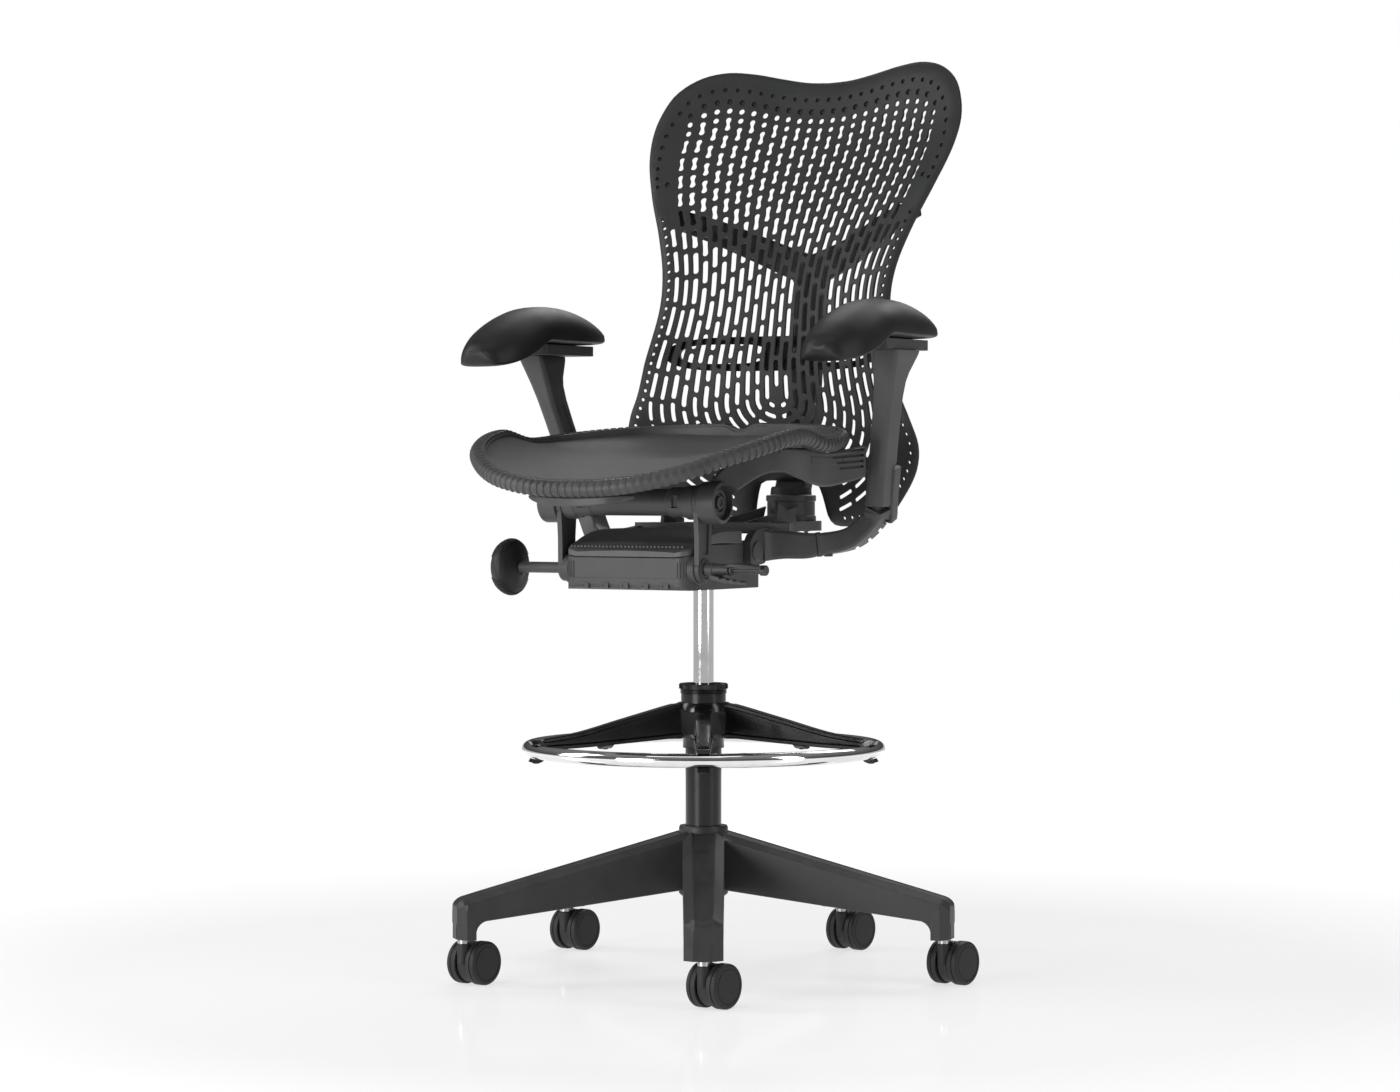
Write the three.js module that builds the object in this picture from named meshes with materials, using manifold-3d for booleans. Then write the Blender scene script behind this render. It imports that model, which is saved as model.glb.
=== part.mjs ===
// Drafting chair: five-leg base on twin-wheel casters, gas lift, foot ring on a sliding hub,
// synchronised tilt mechanism, stretched mesh seat, perforated back shell and adjustable arms.
// Millimetres, +Z up. The chair faces -Y and the sitter's left is +X. Every piece is laid out about
// the swivel axis, and the whole group is then shifted so that the footprint is centred on X = Y = 0.
import * as THREE from 'three';
import { mergeVertices } from 'three/addons/utils/BufferGeometryUtils.js';
import Module from 'manifold-3d';

const wasm = await Module();
wasm.setup();

// ---- Driving dimensions -------------------------------------------------------------------------
const GAP = 0.4; // between pieces that rest on each other
const RUNNING = 0.5; // radial clearance of a turning or sliding fit

const LEG_COUNT = 5;
const FIRST_LEG_DEGREES = -60;
const STEM_CIRCLE = 343; // swivel axis to caster stem
const COLUMN_RADIUS = 25;
const ROD_RADIUS = 14;
const COLUMN_TOP = 400;

const WHEEL_RADIUS = 30;
const WHEEL_PAIR_WIDTH = 50;
const CASTER_TRAIL = 22;
const CASTER_TURN_DEGREES = -8.3;
const STEM_RADIUS = 5.5;

const POST_BOTTOM = 2 * WHEEL_RADIUS + 4; // the casters turn freely under the leg ends
const TIP_UNDERSIDE = POST_BOTTOM + 21;
const TIP_TOP = POST_BOTTOM + 53.5;
const HUB_UNDERSIDE = POST_BOTTOM + 63;
const HUB_TOP = POST_BOTTOM + 145;

const RING_OUTER_RADIUS = 251;
const RING_TUBE_RADIUS = 9.5;
const RING_HEIGHT = 316;

const HOUSING_HALF_WIDTH = 98;
const HOUSING_BOTTOM = 540;
const HOUSING_FRONT = -210;
const LINK_THICKNESS = 7;
const LINK_LOWER = { y: -186, z: 568 };
const LINK_UPPER = { y: -186, z: 657 };
const YOKE_PIVOT = { y: -45, z: 590 };

const SEAT_HALF_WIDTH = 245;
const SEAT_FRONT = -355;
const SEAT_REAR = 120;
const RIM_WIDTH = 24;
const RIM_HEIGHT = 22;
const MESH_THICKNESS = 3;

const SHELL_THICKNESS = 4;
const SHELL_PLAN_CURVE = 0.0009; // sides come forward by this times the square of the half width
const PAD_LENGTH = 290;
const PAD_WIDTH = 100;

const ROUND = 20; // facets around a large turned piece
const SMALL_ROUND = 12; // facets around a small one

const finish = (color, roughness, metalness) =>
  new THREE.MeshStandardMaterial({ color, roughness, metalness });
const GRAPHITE = finish(0x4a4b4d, 0.55, 0.1);
const DARK_SHELL = finish(0x3a3b3d, 0.6, 0.0);
const GLOSS_BLACK = finish(0x0c0c0d, 0.18, 0.0);
const CASTER_BLACK = finish(0x1b1b1c, 0.5, 0.0);
const CHROME = finish(0xd9dadb, 0.08, 1.0);
const STEEL = finish(0x9c9da0, 0.3, 1.0);
const MESH_GREY = finish(0x2b2b2d, 0.9, 0.0);
const SOFT_BLACK = finish(0x161617, 0.7, 0.0);

// ---- Geometry helpers ---------------------------------------------------------------------------
const V = (x, y, z) => new THREE.Vector3(x, y, z);
const AXIS_X = V(1, 0, 0);
const AXIS_Y = V(0, 1, 0);
const { lerp, degToRad } = THREE.MathUtils;
const SIDES = [['left', 1], ['right', -1]];

// A smooth function through a few [input, value] pairs, level with its neighbours at each pair.
function through(pairs) {
  const slope = (i) => {
    const a = pairs[Math.max(i - 1, 0)];
    const b = pairs[Math.min(i + 1, pairs.length - 1)];
    return (b[1] - a[1]) / (b[0] - a[0]);
  };
  return (input) => {
    let i = pairs.findIndex((pair) => pair[0] >= input) - 1;
    if (i === -2) i = pairs.length - 2;
    i = Math.max(i, 0);
    const [x0, y0] = pairs[i];
    const [x1, y1] = pairs[i + 1];
    const t = THREE.MathUtils.clamp((input - x0) / (x1 - x0), 0, 1);
    const run = x1 - x0;
    const [t2, t3] = [t * t, t * t * t];
    return y0 * (2 * t3 - 3 * t2 + 1) + y1 * (3 * t2 - 2 * t3)
      + slope(i) * run * (t3 - 2 * t2 + t) + slope(i + 1) * run * (t3 - t2);
  };
}

// Only positions, shared vertices merged, no zero triangles, faces outward.
function closed(source) {
  let geometry = source.clone();
  for (const name of ['normal', 'uv', 'color']) geometry.deleteAttribute(name);
  geometry.clearGroups();
  geometry = mergeVertices(geometry, 1e-4);
  const position = geometry.attributes.position;
  const corner = (k) => new THREE.Vector3().fromBufferAttribute(position, geometry.index.getX(k));
  const kept = [];
  let volume = 0;
  for (let k = 0; k < geometry.index.count; k += 3) {
    const ids = [0, 1, 2].map((n) => geometry.index.getX(k + n));
    if (new Set(ids).size < 3) continue;
    kept.push(ids);
    volume += corner(k).dot(corner(k + 1).cross(corner(k + 2)));
  }
  geometry.setIndex(kept.flatMap(([a, b, c]) => (volume < 0 ? [a, c, b] : [a, b, c])));
  return geometry;
}

function solid(geometry) {
  const { attributes, index } = closed(geometry);
  return new wasm.Manifold(new wasm.Mesh({
    numProp: 3,
    vertProperties: Float32Array.from(attributes.position.array),
    triVerts: Uint32Array.from(index.array),
  }));
}

function faceted(manifold) {
  const mesh = manifold.getMesh();
  const geometry = new THREE.BufferGeometry();
  geometry.setAttribute('position', new THREE.BufferAttribute(mesh.vertProperties, 3));
  geometry.setIndex(new THREE.BufferAttribute(mesh.triVerts, 1));
  return geometry;
}

const join = (...pieces) => faceted(pieces.map(solid).reduce((sum, piece) => sum.add(piece)));
const cut = (piece, ...tools) =>
  faceted(tools.map(solid).reduce((rest, tool) => rest.subtract(tool), solid(piece)));
const common = (a, b) => faceted(solid(a).intersect(solid(b)));

// A skin over rings of equal point count; open rows end in flat caps, a loop closes on itself.
function loft(rings, isLoop = false) {
  const count = rings[0].length;
  const points = rings.flat();
  const index = [];
  const rows = isLoop ? rings.length : rings.length - 1;
  for (let row = 0; row < rows; row += 1) {
    for (let i = 0; i < count; i += 1) {
      const [a, b] = [row * count + i, row * count + ((i + 1) % count)];
      const next = ((row + 1) % rings.length) * count;
      const [c, d] = [next + i, next + ((i + 1) % count)];
      index.push(a, b, d, a, d, c);
    }
  }
  if (!isLoop) {
    for (const [start, flip] of [[0, true], [(rings.length - 1) * count, false]]) {
      const middle = V(0, 0, 0);
      for (let i = 0; i < count; i += 1) middle.addScaledVector(points[start + i], 1 / count);
      points.push(middle);
      for (let i = 0; i < count; i += 1) {
        const [a, b] = [start + i, start + ((i + 1) % count)];
        index.push(points.length - 1, flip ? b : a, flip ? a : b);
      }
    }
  }
  const geometry = new THREE.BufferGeometry().setFromPoints(points);
  geometry.setIndex(index);
  return closed(geometry);
}

// Corner points of a rectangle with cut or rounded corners, around its centre.
function section(width, height, corner, steps = 1) {
  const points = [];
  for (const [sx, sy, start] of [[1, 1, 0], [-1, 1, 90], [-1, -1, 180], [1, -1, 270]]) {
    for (let k = 0; k <= steps; k += 1) {
      const angle = degToRad(start + (90 * k) / steps);
      points.push([sx * (width / 2 - corner) + corner * Math.cos(angle),
        sy * (height / 2 - corner) + corner * Math.sin(angle)]);
    }
  }
  return points;
}

// A bar along a smooth path: sizes(t) gives [width, height, corner], width lies towards `side`.
function bar(points, sizes, steps, side, cornerSteps = 1) {
  const path = new THREE.CatmullRomCurve3(points, false, 'centripetal');
  const rings = [];
  for (let k = 0; k <= steps; k += 1) {
    const t = k / steps;
    const tangent = path.getTangent(t);
    const across = side.clone().addScaledVector(tangent, -side.dot(tangent)).normalize();
    const up = tangent.clone().cross(across);
    const centre = path.getPoint(t);
    rings.push(section(...sizes(t), cornerSteps)
      .map(([a, b]) => centre.clone().addScaledVector(across, a).addScaledVector(up, b)));
  }
  return loft(rings);
}

// A flat outline in Y and Z, given a thickness along X from x0 to x1.
function sidePlate(outline, x0, x1) {
  const shape = new THREE.Shape(outline.map(([y, z]) => new THREE.Vector2(y, z)));
  const plate = new THREE.ExtrudeGeometry(shape, { depth: x1 - x0, bevelEnabled: false });
  plate.applyMatrix4(new THREE.Matrix4().makeBasis(V(0, 1, 0), V(0, 0, 1), V(1, 0, 0)));
  return plate.translate(x0, 0, 0);
}

// A flat outline in X and Y, given a height from z0 to z1.
function planPlate(outline, z0, z1) {
  const shape = new THREE.Shape(outline.map(([x, y]) => new THREE.Vector2(x, y)));
  return new THREE.ExtrudeGeometry(shape, { depth: z1 - z0, bevelEnabled: false })
    .translate(0, 0, z0);
}

const mirrored = (outline) => [...outline, ...outline.map(([x, y]) => [-x, y]).reverse()];

// A turned piece about the Z axis; the profile is [radius, height] pairs.
function turned(profile, segments = ROUND) {
  const points = profile.map(([radius, height]) => new THREE.Vector2(radius, height));
  return new THREE.LatheGeometry(points, segments).rotateX(Math.PI / 2);
}

// The same profile read along X, about an axis at (y, z).
const turnedX = (profile, y, z, segments = ROUND) =>
  turned(profile, segments).rotateY(Math.PI / 2).translate(0, y, z);

const rodX = (radius, x0, x1, { y, z }, segments = SMALL_ROUND) =>
  turnedX([[0, x0], [radius, x0], [radius, x1], [0, x1]], y, z, segments);
const rodZ = (radius, z0, z1, segments = ROUND) =>
  turned([[0, z0], [radius, z0], [radius, z1], [0, z1]], segments);

const flip = (geometry, side) => (side > 0 ? geometry : closed(geometry.scale(-1, 1, 1)));

const chair = new THREE.Group();
function add(name, geometry, material, parent = chair) {
  const mesh = new THREE.Mesh(closed(geometry), material);
  mesh.name = name;
  parent.add(mesh);
  return mesh;
}

// ---- Base and casters ---------------------------------------------------------------------------
const SOCKET_DEPTH = 30;
const LEG_TOP_HALF = [16.5, 12]; // flat top, hub end and tip end
const LEG_HALF = [29, 26];
const LEG_CHAMFER = 8;
const POST_LENGTH = 24;
const HUB_RADIUS = COLUMN_RADIUS + 9;
const WHEEL_INNER_FACE = 9;
const AXLE_RADIUS = 4;
const HOOD_HALF_WIDTH = 8.5;
const HOOD_TOP = POST_BOTTOM - 7;

function leg() {
  const tip = STEM_CIRCLE + POST_LENGTH / 2;
  const ring = (x, t, half, topHalf) => {
    const top = lerp(HUB_TOP, TIP_TOP, t);
    const bottom = lerp(HUB_UNDERSIDE, TIP_UNDERSIDE, t);
    return [V(x, half, bottom), V(x, half, top - LEG_CHAMFER), V(x, topHalf, top),
      V(x, -topHalf, top), V(x, -half, top - LEG_CHAMFER), V(x, -half, bottom)];
  };
  const endChamfer = 12;
  const arm = loft([
    ring(0, 0, LEG_HALF[0], LEG_TOP_HALF[0]),
    ring(HUB_RADIUS, 0, LEG_HALF[0], LEG_TOP_HALF[0]),
    ring(tip - endChamfer, 1 - endChamfer / tip, LEG_HALF[1], LEG_TOP_HALF[1]),
    ring(tip, 1, LEG_TOP_HALF[1] + 1, LEG_TOP_HALF[1]),
  ]);
  const post = planPlate([
    [tip - POST_LENGTH, -LEG_HALF[1]], [tip - endChamfer, -LEG_HALF[1]],
    [tip, -LEG_TOP_HALF[1] - 1], [tip, LEG_TOP_HALF[1] + 1],
    [tip - endChamfer, LEG_HALF[1]], [tip - POST_LENGTH, LEG_HALF[1]],
  ], POST_BOTTOM, TIP_UNDERSIDE + 6);
  const socket = rodZ(STEM_RADIUS + RUNNING, POST_BOTTOM - 1, POST_BOTTOM + SOCKET_DEPTH, SMALL_ROUND)
    .translate(STEM_CIRCLE, 0, 0);
  return cut(join(arm, post), socket);
}

function starBase() {
  const legs = legAngles().map((angle) => leg().rotateZ(angle));
  const hub = rodZ(HUB_RADIUS, HUB_UNDERSIDE - 15, HUB_TOP);
  const bore = rodZ(COLUMN_RADIUS + GAP, HUB_UNDERSIDE - 16, HUB_TOP + 1);
  return cut(join(hub, ...legs), bore);
}

function legAngles() {
  return Array.from({ length: LEG_COUNT },
    (_, i) => degToRad(FIRST_LEG_DEGREES + (360 / LEG_COUNT) * i));
}

function wheel() {
  const outer = WHEEL_PAIR_WIDTH / 2;
  const bore = AXLE_RADIUS + RUNNING;
  const boreEnd = outer - 4.5;
  const bevel = 2.5;
  return turned([[0, boreEnd], [bore, boreEnd], [bore, WHEEL_INNER_FACE],
    [WHEEL_RADIUS, WHEEL_INNER_FACE], [WHEEL_RADIUS, outer - bevel],
    [WHEEL_RADIUS - bevel, outer], [0, outer]], 16)
    .rotateY(Math.PI / 2).translate(0, CASTER_TRAIL, WHEEL_RADIUS);
}

function casterHood() {
  const axle = { y: CASTER_TRAIL, z: WHEEL_RADIUS };
  const disc = rodX(WHEEL_RADIUS - 3, -HOOD_HALF_WIDTH, HOOD_HALF_WIDTH, axle, 16);
  const neck = rodZ(HOOD_HALF_WIDTH, WHEEL_RADIUS, HOOD_TOP, SMALL_ROUND);
  const stemHole = rodZ(STEM_RADIUS + RUNNING, WHEEL_RADIUS + 3, HOOD_TOP + 1, SMALL_ROUND);
  const axleHole = rodX(AXLE_RADIUS + RUNNING, -HOOD_HALF_WIDTH - 1, HOOD_HALF_WIDTH + 1, axle, 12);
  return cut(join(disc, neck), stemHole, axleHole);
}

function casterStem() {
  const bottom = WHEEL_RADIUS + 4;
  const flange = [HOOD_TOP + GAP, POST_BOTTOM - GAP];
  return turned([[0, bottom], [STEM_RADIUS, bottom], [STEM_RADIUS, flange[0]], [8, flange[0]],
    [8, flange[1]], [STEM_RADIUS, flange[1]], [STEM_RADIUS, POST_BOTTOM + SOCKET_DEPTH - 4],
    [0, POST_BOTTOM + SOCKET_DEPTH - 4]], SMALL_ROUND);
}

function addCasters() {
  legAngles().forEach((angle, i) => {
    const caster = new THREE.Group();
    caster.position.set(STEM_CIRCLE * Math.cos(angle), STEM_CIRCLE * Math.sin(angle), 0);
    caster.rotation.z = degToRad(CASTER_TURN_DEGREES);
    const name = `caster_${i + 1}`;
    const axleEnd = WHEEL_PAIR_WIDTH / 2 - 5;
    add(`${name}_stem`, casterStem(), STEEL, caster);
    add(`${name}_hood`, casterHood(), CASTER_BLACK, caster);
    add(`${name}_axle`, rodX(AXLE_RADIUS, -axleEnd, axleEnd,
      { y: CASTER_TRAIL, z: WHEEL_RADIUS }, 12), STEEL, caster);
    for (const [side, sign] of SIDES) {
      add(`${name}_wheel_${side}`, flip(wheel(), sign), CASTER_BLACK, caster);
    }
    chair.add(caster);
  });
}

// ---- Column, gas lift and foot ring -------------------------------------------------------------
const COLUMN_BOTTOM = HUB_UNDERSIDE - 27;
const COLUMN_WALL = 3;
const BUSH_LENGTH = 60;
const ROD_BOTTOM = 240;
const ROD_TOP = HOUSING_BOTTOM + 32;
const PIN_RADIUS = 4;
const PIN_TRAVEL = 4;

const HUB_BODY_TOP = RING_HEIGHT + 63;
const HUB_NECK_TOP = RING_HEIGHT + 75;
const SPOKE_ROOT = { bottom: RING_HEIGHT + 15, top: HUB_BODY_TOP - 2 };
const SPOKE_HALF = [13, 8];

function columnTube() {
  const inner = COLUMN_RADIUS - COLUMN_WALL;
  const bush = ROD_RADIUS + RUNNING;
  return turned([[inner, COLUMN_BOTTOM], [COLUMN_RADIUS, COLUMN_BOTTOM],
    [COLUMN_RADIUS, COLUMN_TOP - 3], [COLUMN_RADIUS - 2, COLUMN_TOP], [bush, COLUMN_TOP],
    [bush, COLUMN_TOP - BUSH_LENGTH], [inner, COLUMN_TOP - BUSH_LENGTH], [inner, COLUMN_BOTTOM]]);
}

function gasRod() {
  const floorOfBore = ROD_TOP - 14;
  return turned([[0, ROD_BOTTOM], [ROD_RADIUS, ROD_BOTTOM], [ROD_RADIUS, ROD_TOP],
    [PIN_RADIUS + RUNNING, ROD_TOP], [PIN_RADIUS + RUNNING, floorOfBore], [0, floorOfBore]]);
}

const gasPin = () => rodZ(PIN_RADIUS, ROD_TOP - 13 + PIN_TRAVEL, ROD_TOP + 7, 12);

function footRingHub() {
  const bore = COLUMN_RADIUS + RUNNING;
  const [skirt, shoulder, neck] = [COLUMN_RADIUS + 3.5, COLUMN_RADIUS + 13, COLUMN_RADIUS + 6];
  const foot = RING_HEIGHT + 0.5;
  const body = turned([[bore, foot], [skirt, foot], [skirt, SPOKE_ROOT.bottom - 2],
    [shoulder - 1, SPOKE_ROOT.bottom], [shoulder, HUB_BODY_TOP - 9], [shoulder - 2, HUB_BODY_TOP],
    [neck, HUB_BODY_TOP], [neck, HUB_NECK_TOP], [bore, HUB_NECK_TOP], [bore, foot]]);
  const spokes = legAngles().map((angle) => footRingSpoke().rotateZ(angle));
  return cut(join(body, ...spokes), rodZ(bore, RING_HEIGHT - 20, HUB_NECK_TOP + 1));
}

// One spoke with the clamp that holds the ring from above, inside and below.
function footRingSpoke() {
  const ringRadius = RING_OUTER_RADIUS - RING_TUBE_RADIUS;
  const hold = RING_TUBE_RADIUS + 3 * GAP; // the ring's facets cut inside its true circle
  const inside = ringRadius - hold;
  const ring = (x, half, bottom, top) => [V(x, half, bottom), V(x, half, top - 2),
    V(x, half - 2, top), V(x, 2 - half, top), V(x, -half, top - 2), V(x, -half, bottom)];
  const arm = loft([
    ring(COLUMN_RADIUS - 5, SPOKE_HALF[0], SPOKE_ROOT.bottom, SPOKE_ROOT.top),
    ring(COLUMN_RADIUS + 19, SPOKE_HALF[0], SPOKE_ROOT.bottom, SPOKE_ROOT.top),
    ring(inside, SPOKE_HALF[1], RING_HEIGHT + 2, RING_HEIGHT + 17),
  ]);
  const clamp = sidePlate([
    [inside - 12, RING_HEIGHT + 8], [inside - 6, RING_HEIGHT - hold - 6],
    [ringRadius + 3, RING_HEIGHT - hold - 6], [ringRadius + 3, RING_HEIGHT - hold],
    [inside, RING_HEIGHT - hold], [inside, RING_HEIGHT + hold],
    [ringRadius + 2, RING_HEIGHT + hold], [ringRadius + 2, RING_HEIGHT + hold + 5],
    [inside - 12, RING_HEIGHT + hold + 7],
  ], -SPOKE_HALF[1], SPOKE_HALF[1]).rotateZ(-Math.PI / 2);
  return join(arm, clamp);
}

function footRingCollar() {
  const bore = COLUMN_RADIUS + RUNNING;
  const bottom = HUB_NECK_TOP + GAP;
  const thread = COLUMN_RADIUS + 7;
  const rim = COLUMN_RADIUS + 9.2;
  return turned([[bore, bottom], [thread, bottom], [thread + 0.5, bottom + 6], [rim, bottom + 6.5],
    [rim, bottom + 13], [rim - 1.2, bottom + 14], [bore, bottom + 14], [bore, bottom]]);
}

const footRing = () =>
  new THREE.TorusGeometry(RING_OUTER_RADIUS - RING_TUBE_RADIUS, RING_TUBE_RADIUS, 8, 48)
    .translate(0, 0, RING_HEIGHT);

// ---- Tilt mechanism -----------------------------------------------------------------------------
const HOUSING_REAR = 38;
const HOUSING_TOP_LINE = [[HOUSING_FRONT, 584], [-150, 600], [-66, 600]];
const STUB_RADIUS = 12; // hollow stubs that the front links turn on
const SHAFT_RADIUS = 7.5;
const YOKE_STUB_RADIUS = 9;
const LINK_X0 = HOUSING_HALF_WIDTH + 5;
const LINK_X1 = LINK_X0 + LINK_THICKNESS;
const STUB_END = LINK_X1 + 1.5;
const CHEEK_X0 = HOUSING_HALF_WIDTH + 0.8;
const CHEEK_X1 = CHEEK_X0 + 11;

function tiltHousing() {
  const side = sidePlate([
    [HOUSING_FRONT, HOUSING_BOTTOM + 8], [HOUSING_FRONT + 8, HOUSING_BOTTOM],
    [HOUSING_REAR, HOUSING_BOTTOM], [HOUSING_REAR, 578], [-22, 578], [-22, 604], [-66, 604],
    ...[...HOUSING_TOP_LINE].reverse(),
  ], -HOUSING_HALF_WIDTH, HOUSING_HALF_WIDTH);
  const plan = planPlate(mirrored([
    [HOUSING_HALF_WIDTH - 22, HOUSING_FRONT], [HOUSING_HALF_WIDTH - 7, HOUSING_FRONT + 6],
    [HOUSING_HALF_WIDTH, HOUSING_FRONT + 20], [HOUSING_HALF_WIDTH, -18], [60, 14], [44, HOUSING_REAR],
  ]), HOUSING_BOTTOM - 1, 640);
  const stubs = SIDES.flatMap(([, sign]) => [
    flip(rodX(STUB_RADIUS, HOUSING_HALF_WIDTH - 4, STUB_END, LINK_LOWER), sign),
    flip(rodX(20, HOUSING_HALF_WIDTH - 4, LINK_X0 - GAP, LINK_LOWER), sign),
    flip(rodX(YOKE_STUB_RADIUS, HOUSING_HALF_WIDTH - 4, CHEEK_X1 + 2, YOKE_PIVOT), sign),
  ]);
  const shaftHoles = SIDES.map(([, sign]) =>
    flip(rodX(SHAFT_RADIUS + RUNNING, 55, STUB_END + 1, LINK_LOWER), sign));
  const rodHole = rodZ(ROD_RADIUS + RUNNING, HOUSING_BOTTOM - 1, 579);
  return cut(join(common(side, plan), ...stubs), rodHole, ...shaftHoles);
}

function housingCover() {
  const under = HOUSING_TOP_LINE.map(([y, z]) => [y, z + GAP]);
  const edge = 6;
  const half = HOUSING_HALF_WIDTH;
  const side = sidePlate([...under, [-66, 621], [-120, 621], [-150, 616], [-185, 602],
    [HOUSING_FRONT, HOUSING_TOP_LINE[0][1] + edge + 2]], -half, half);
  const plan = planPlate(mirrored([[half - 22, HOUSING_FRONT], [half - 7, HOUSING_FRONT + 6],
    [half, HOUSING_FRONT + 20], [half, -66]]), HOUSING_BOTTOM, 640);
  return common(side, plan);
}

const KNOB = { radius: 38, inner: -HOUSING_HALF_WIDTH - 83, depth: 36 };

function tensionKnob() {
  const { radius, inner } = KNOB;
  const outer = inner - KNOB.depth;
  return turnedX([[0, outer], [18, outer + 2], [31, outer + 8], [37, outer + 15], [radius, outer + 22],
    [35, outer + 29], [16, inner - 2], [12, inner], [0, inner]], LINK_LOWER.y, LINK_LOWER.z);
}

const tensionShaft = () => rodX(SHAFT_RADIUS, KNOB.inner + GAP, -60, LINK_LOWER);

const LEVER_SHAFT_RADIUS = 5;
const LEVER_SPLIT = HOUSING_HALF_WIDTH + 51;
const LEVER_END = LEVER_SPLIT + 55;

function heightLever() {
  const shaft = rodX(LEVER_SHAFT_RADIUS, 60, LEVER_END, LINK_LOWER);
  const boss = rodX(7, LEVER_END - 8, LEVER_END, LINK_LOWER);
  const paddle = bar([V(LEVER_SPLIT + 2, -194, 573), V(LEVER_SPLIT + 23, -205, 575),
    V(LEVER_END - 5, -196, 572)],
    (t) => [lerp(14, 20, Math.sin(Math.PI * t)), 5, 1.5], 6, AXIS_Y);
  const web = sidePlate([[-196, 570], [-196, 576], [-184, 574], [-184, 566]],
    LEVER_SPLIT + 6, LEVER_END - 9);
  return join(shaft, boss, paddle, web);
}

function tiltLever() {
  const inner = LEVER_SHAFT_RADIUS + RUNNING;
  const tube = turnedX([[inner, STUB_END + 1], [8, STUB_END + 1], [8, LEVER_SPLIT - 1],
    [inner, LEVER_SPLIT - 1], [inner, STUB_END + 1]], LINK_LOWER.y, LINK_LOWER.z, SMALL_ROUND);
  const finger = bar([V(LEVER_SPLIT - 23, -190, 558.5), V(LEVER_SPLIT + 1, -199, 554),
    V(LEVER_SPLIT + 35, -203, 551)], (t) => [lerp(16, 12, t), lerp(7, 5, t), 1.5], 5, AXIS_Y);
  return join(tube, finger);
}

function frontLink() {
  const web = sidePlate([[LINK_LOWER.y - 17, LINK_LOWER.z], [LINK_LOWER.y + 17, LINK_LOWER.z],
    [LINK_UPPER.y + 21, LINK_UPPER.z], [LINK_UPPER.y - 21, LINK_UPPER.z]], LINK_X0, LINK_X1);
  const lower = rodX(18, LINK_X0, LINK_X1, LINK_LOWER, ROUND);
  const upper = rodX(24, LINK_X0, LINK_X1, LINK_UPPER, ROUND);
  const lowerHole = rodX(STUB_RADIUS + RUNNING, LINK_X0 - 1, LINK_X1 + 1, LINK_LOWER);
  const upperHole = rodX(CROSS_NECK + RUNNING, LINK_X0 - 1, LINK_X1 + 1, LINK_UPPER);
  return cut(join(web, lower, upper), lowerHole, upperHole);
}

const CROSS_NECK = 13.5;
const BOSS_X0 = LINK_X1 + GAP;
const BOSS_X1 = BOSS_X0 + 27.6;
const BOSS_RADIUS = 28;

function crossTube() {
  const end = BOSS_X0 + 14;
  const half = [[18, 0], [18, LINK_X0 - 45], [20.5, LINK_X0 - 41], [20.5, LINK_X0 - 19],
    [23, LINK_X0 - 15], [23, LINK_X0 - GAP],
    [CROSS_NECK, LINK_X0 - GAP], [CROSS_NECK, end], [0, end]];
  const profile = [...half.map(([r, x]) => [r, -x]).reverse(), ...half.slice(1)];
  return turnedX(profile, LINK_UPPER.y, LINK_UPPER.z);
}

function seatRail() {
  const underRim = (y) => sideHeight(y) - RIM_HEIGHT - 1;
  const outward = (share) => lerp(BOSS_X1, SEAT_HALF_WIDTH, share); // from the boss to the rim
  const stations = [ // y, x, bottom, top
    [-186, BOSS_X1 - 16, 645, 690], [-172, BOSS_X1, 664, 709], [-150, outward(0.33), 692, 724],
    ...[[-110, 0.64, 690], [-70, 0.79, 678], [-30, 0.87, 682], [4, 0.9, 687], [22, 0.91, 690]]
      .map(([y, share, bottom]) => [y, outward(share), bottom, underRim(y)]),
  ];
  const thickness = 12;
  const last = stations.length - 1;
  const rings = stations.map(([y, x, bottom, top], i) => {
    const [before, after] = [stations[Math.max(i - 1, 0)], stations[Math.min(i + 1, last)]];
    const along = V(after[1] - before[1], after[0] - before[0], 0).normalize();
    const across = V(along.y, -along.x, 0);
    return section(thickness, top - bottom, 3)
      .map(([a, b]) => V(x, y, (top + bottom) / 2 + b).addScaledVector(across, a));
  });
  const boss = rodX(BOSS_RADIUS, BOSS_X0, BOSS_X1, LINK_UPPER, ROUND);
  const recess = rodX(BOSS_RADIUS - 5, BOSS_X0 + 18.5, BOSS_X1 + 40, LINK_UPPER, ROUND);
  const socket = rodX(CROSS_NECK + GAP, BOSS_X0 - 1, BOSS_X0 + 16, LINK_UPPER, ROUND);
  return cut(join(boss, loft(rings)), recess, socket);
}

// ---- Seat ---------------------------------------------------------------------------------------
const RIM_POWER = 2.5;
const sideHeight = through([[SEAT_FRONT, 686], [-340, 696], [-280, 727], [-160, 755], [-80, 745],
  [0, 752], [SEAT_REAR, 766]]);
const centreHeight = through([[SEAT_FRONT, 686], [-300, 704], [-200, 722], [-100, 726], [0, 732],
  [SEAT_REAR, 758]]);

// A point on the seat outline, shrunk all round by `inset`, at an angle from the sitter's left.
function seatOutline(angle, inset) {
  const middle = (SEAT_FRONT + SEAT_REAR) / 2;
  const depth = (SEAT_REAR - SEAT_FRONT) / 2 - inset;
  const power = 2 / RIM_POWER;
  const [c, s] = [Math.cos(angle), Math.sin(angle)];
  return [(SEAT_HALF_WIDTH - inset) * Math.sign(c) * Math.abs(c) ** power,
    middle + depth * Math.sign(s) * Math.abs(s) ** power];
}

function seatHalfWidthAt(y) {
  const middle = (SEAT_FRONT + SEAT_REAR) / 2;
  const share = Math.min(Math.abs(y - middle) / ((SEAT_REAR - SEAT_FRONT) / 2), 0.999);
  return SEAT_HALF_WIDTH * (1 - share ** RIM_POWER) ** (1 / RIM_POWER);
}

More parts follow.
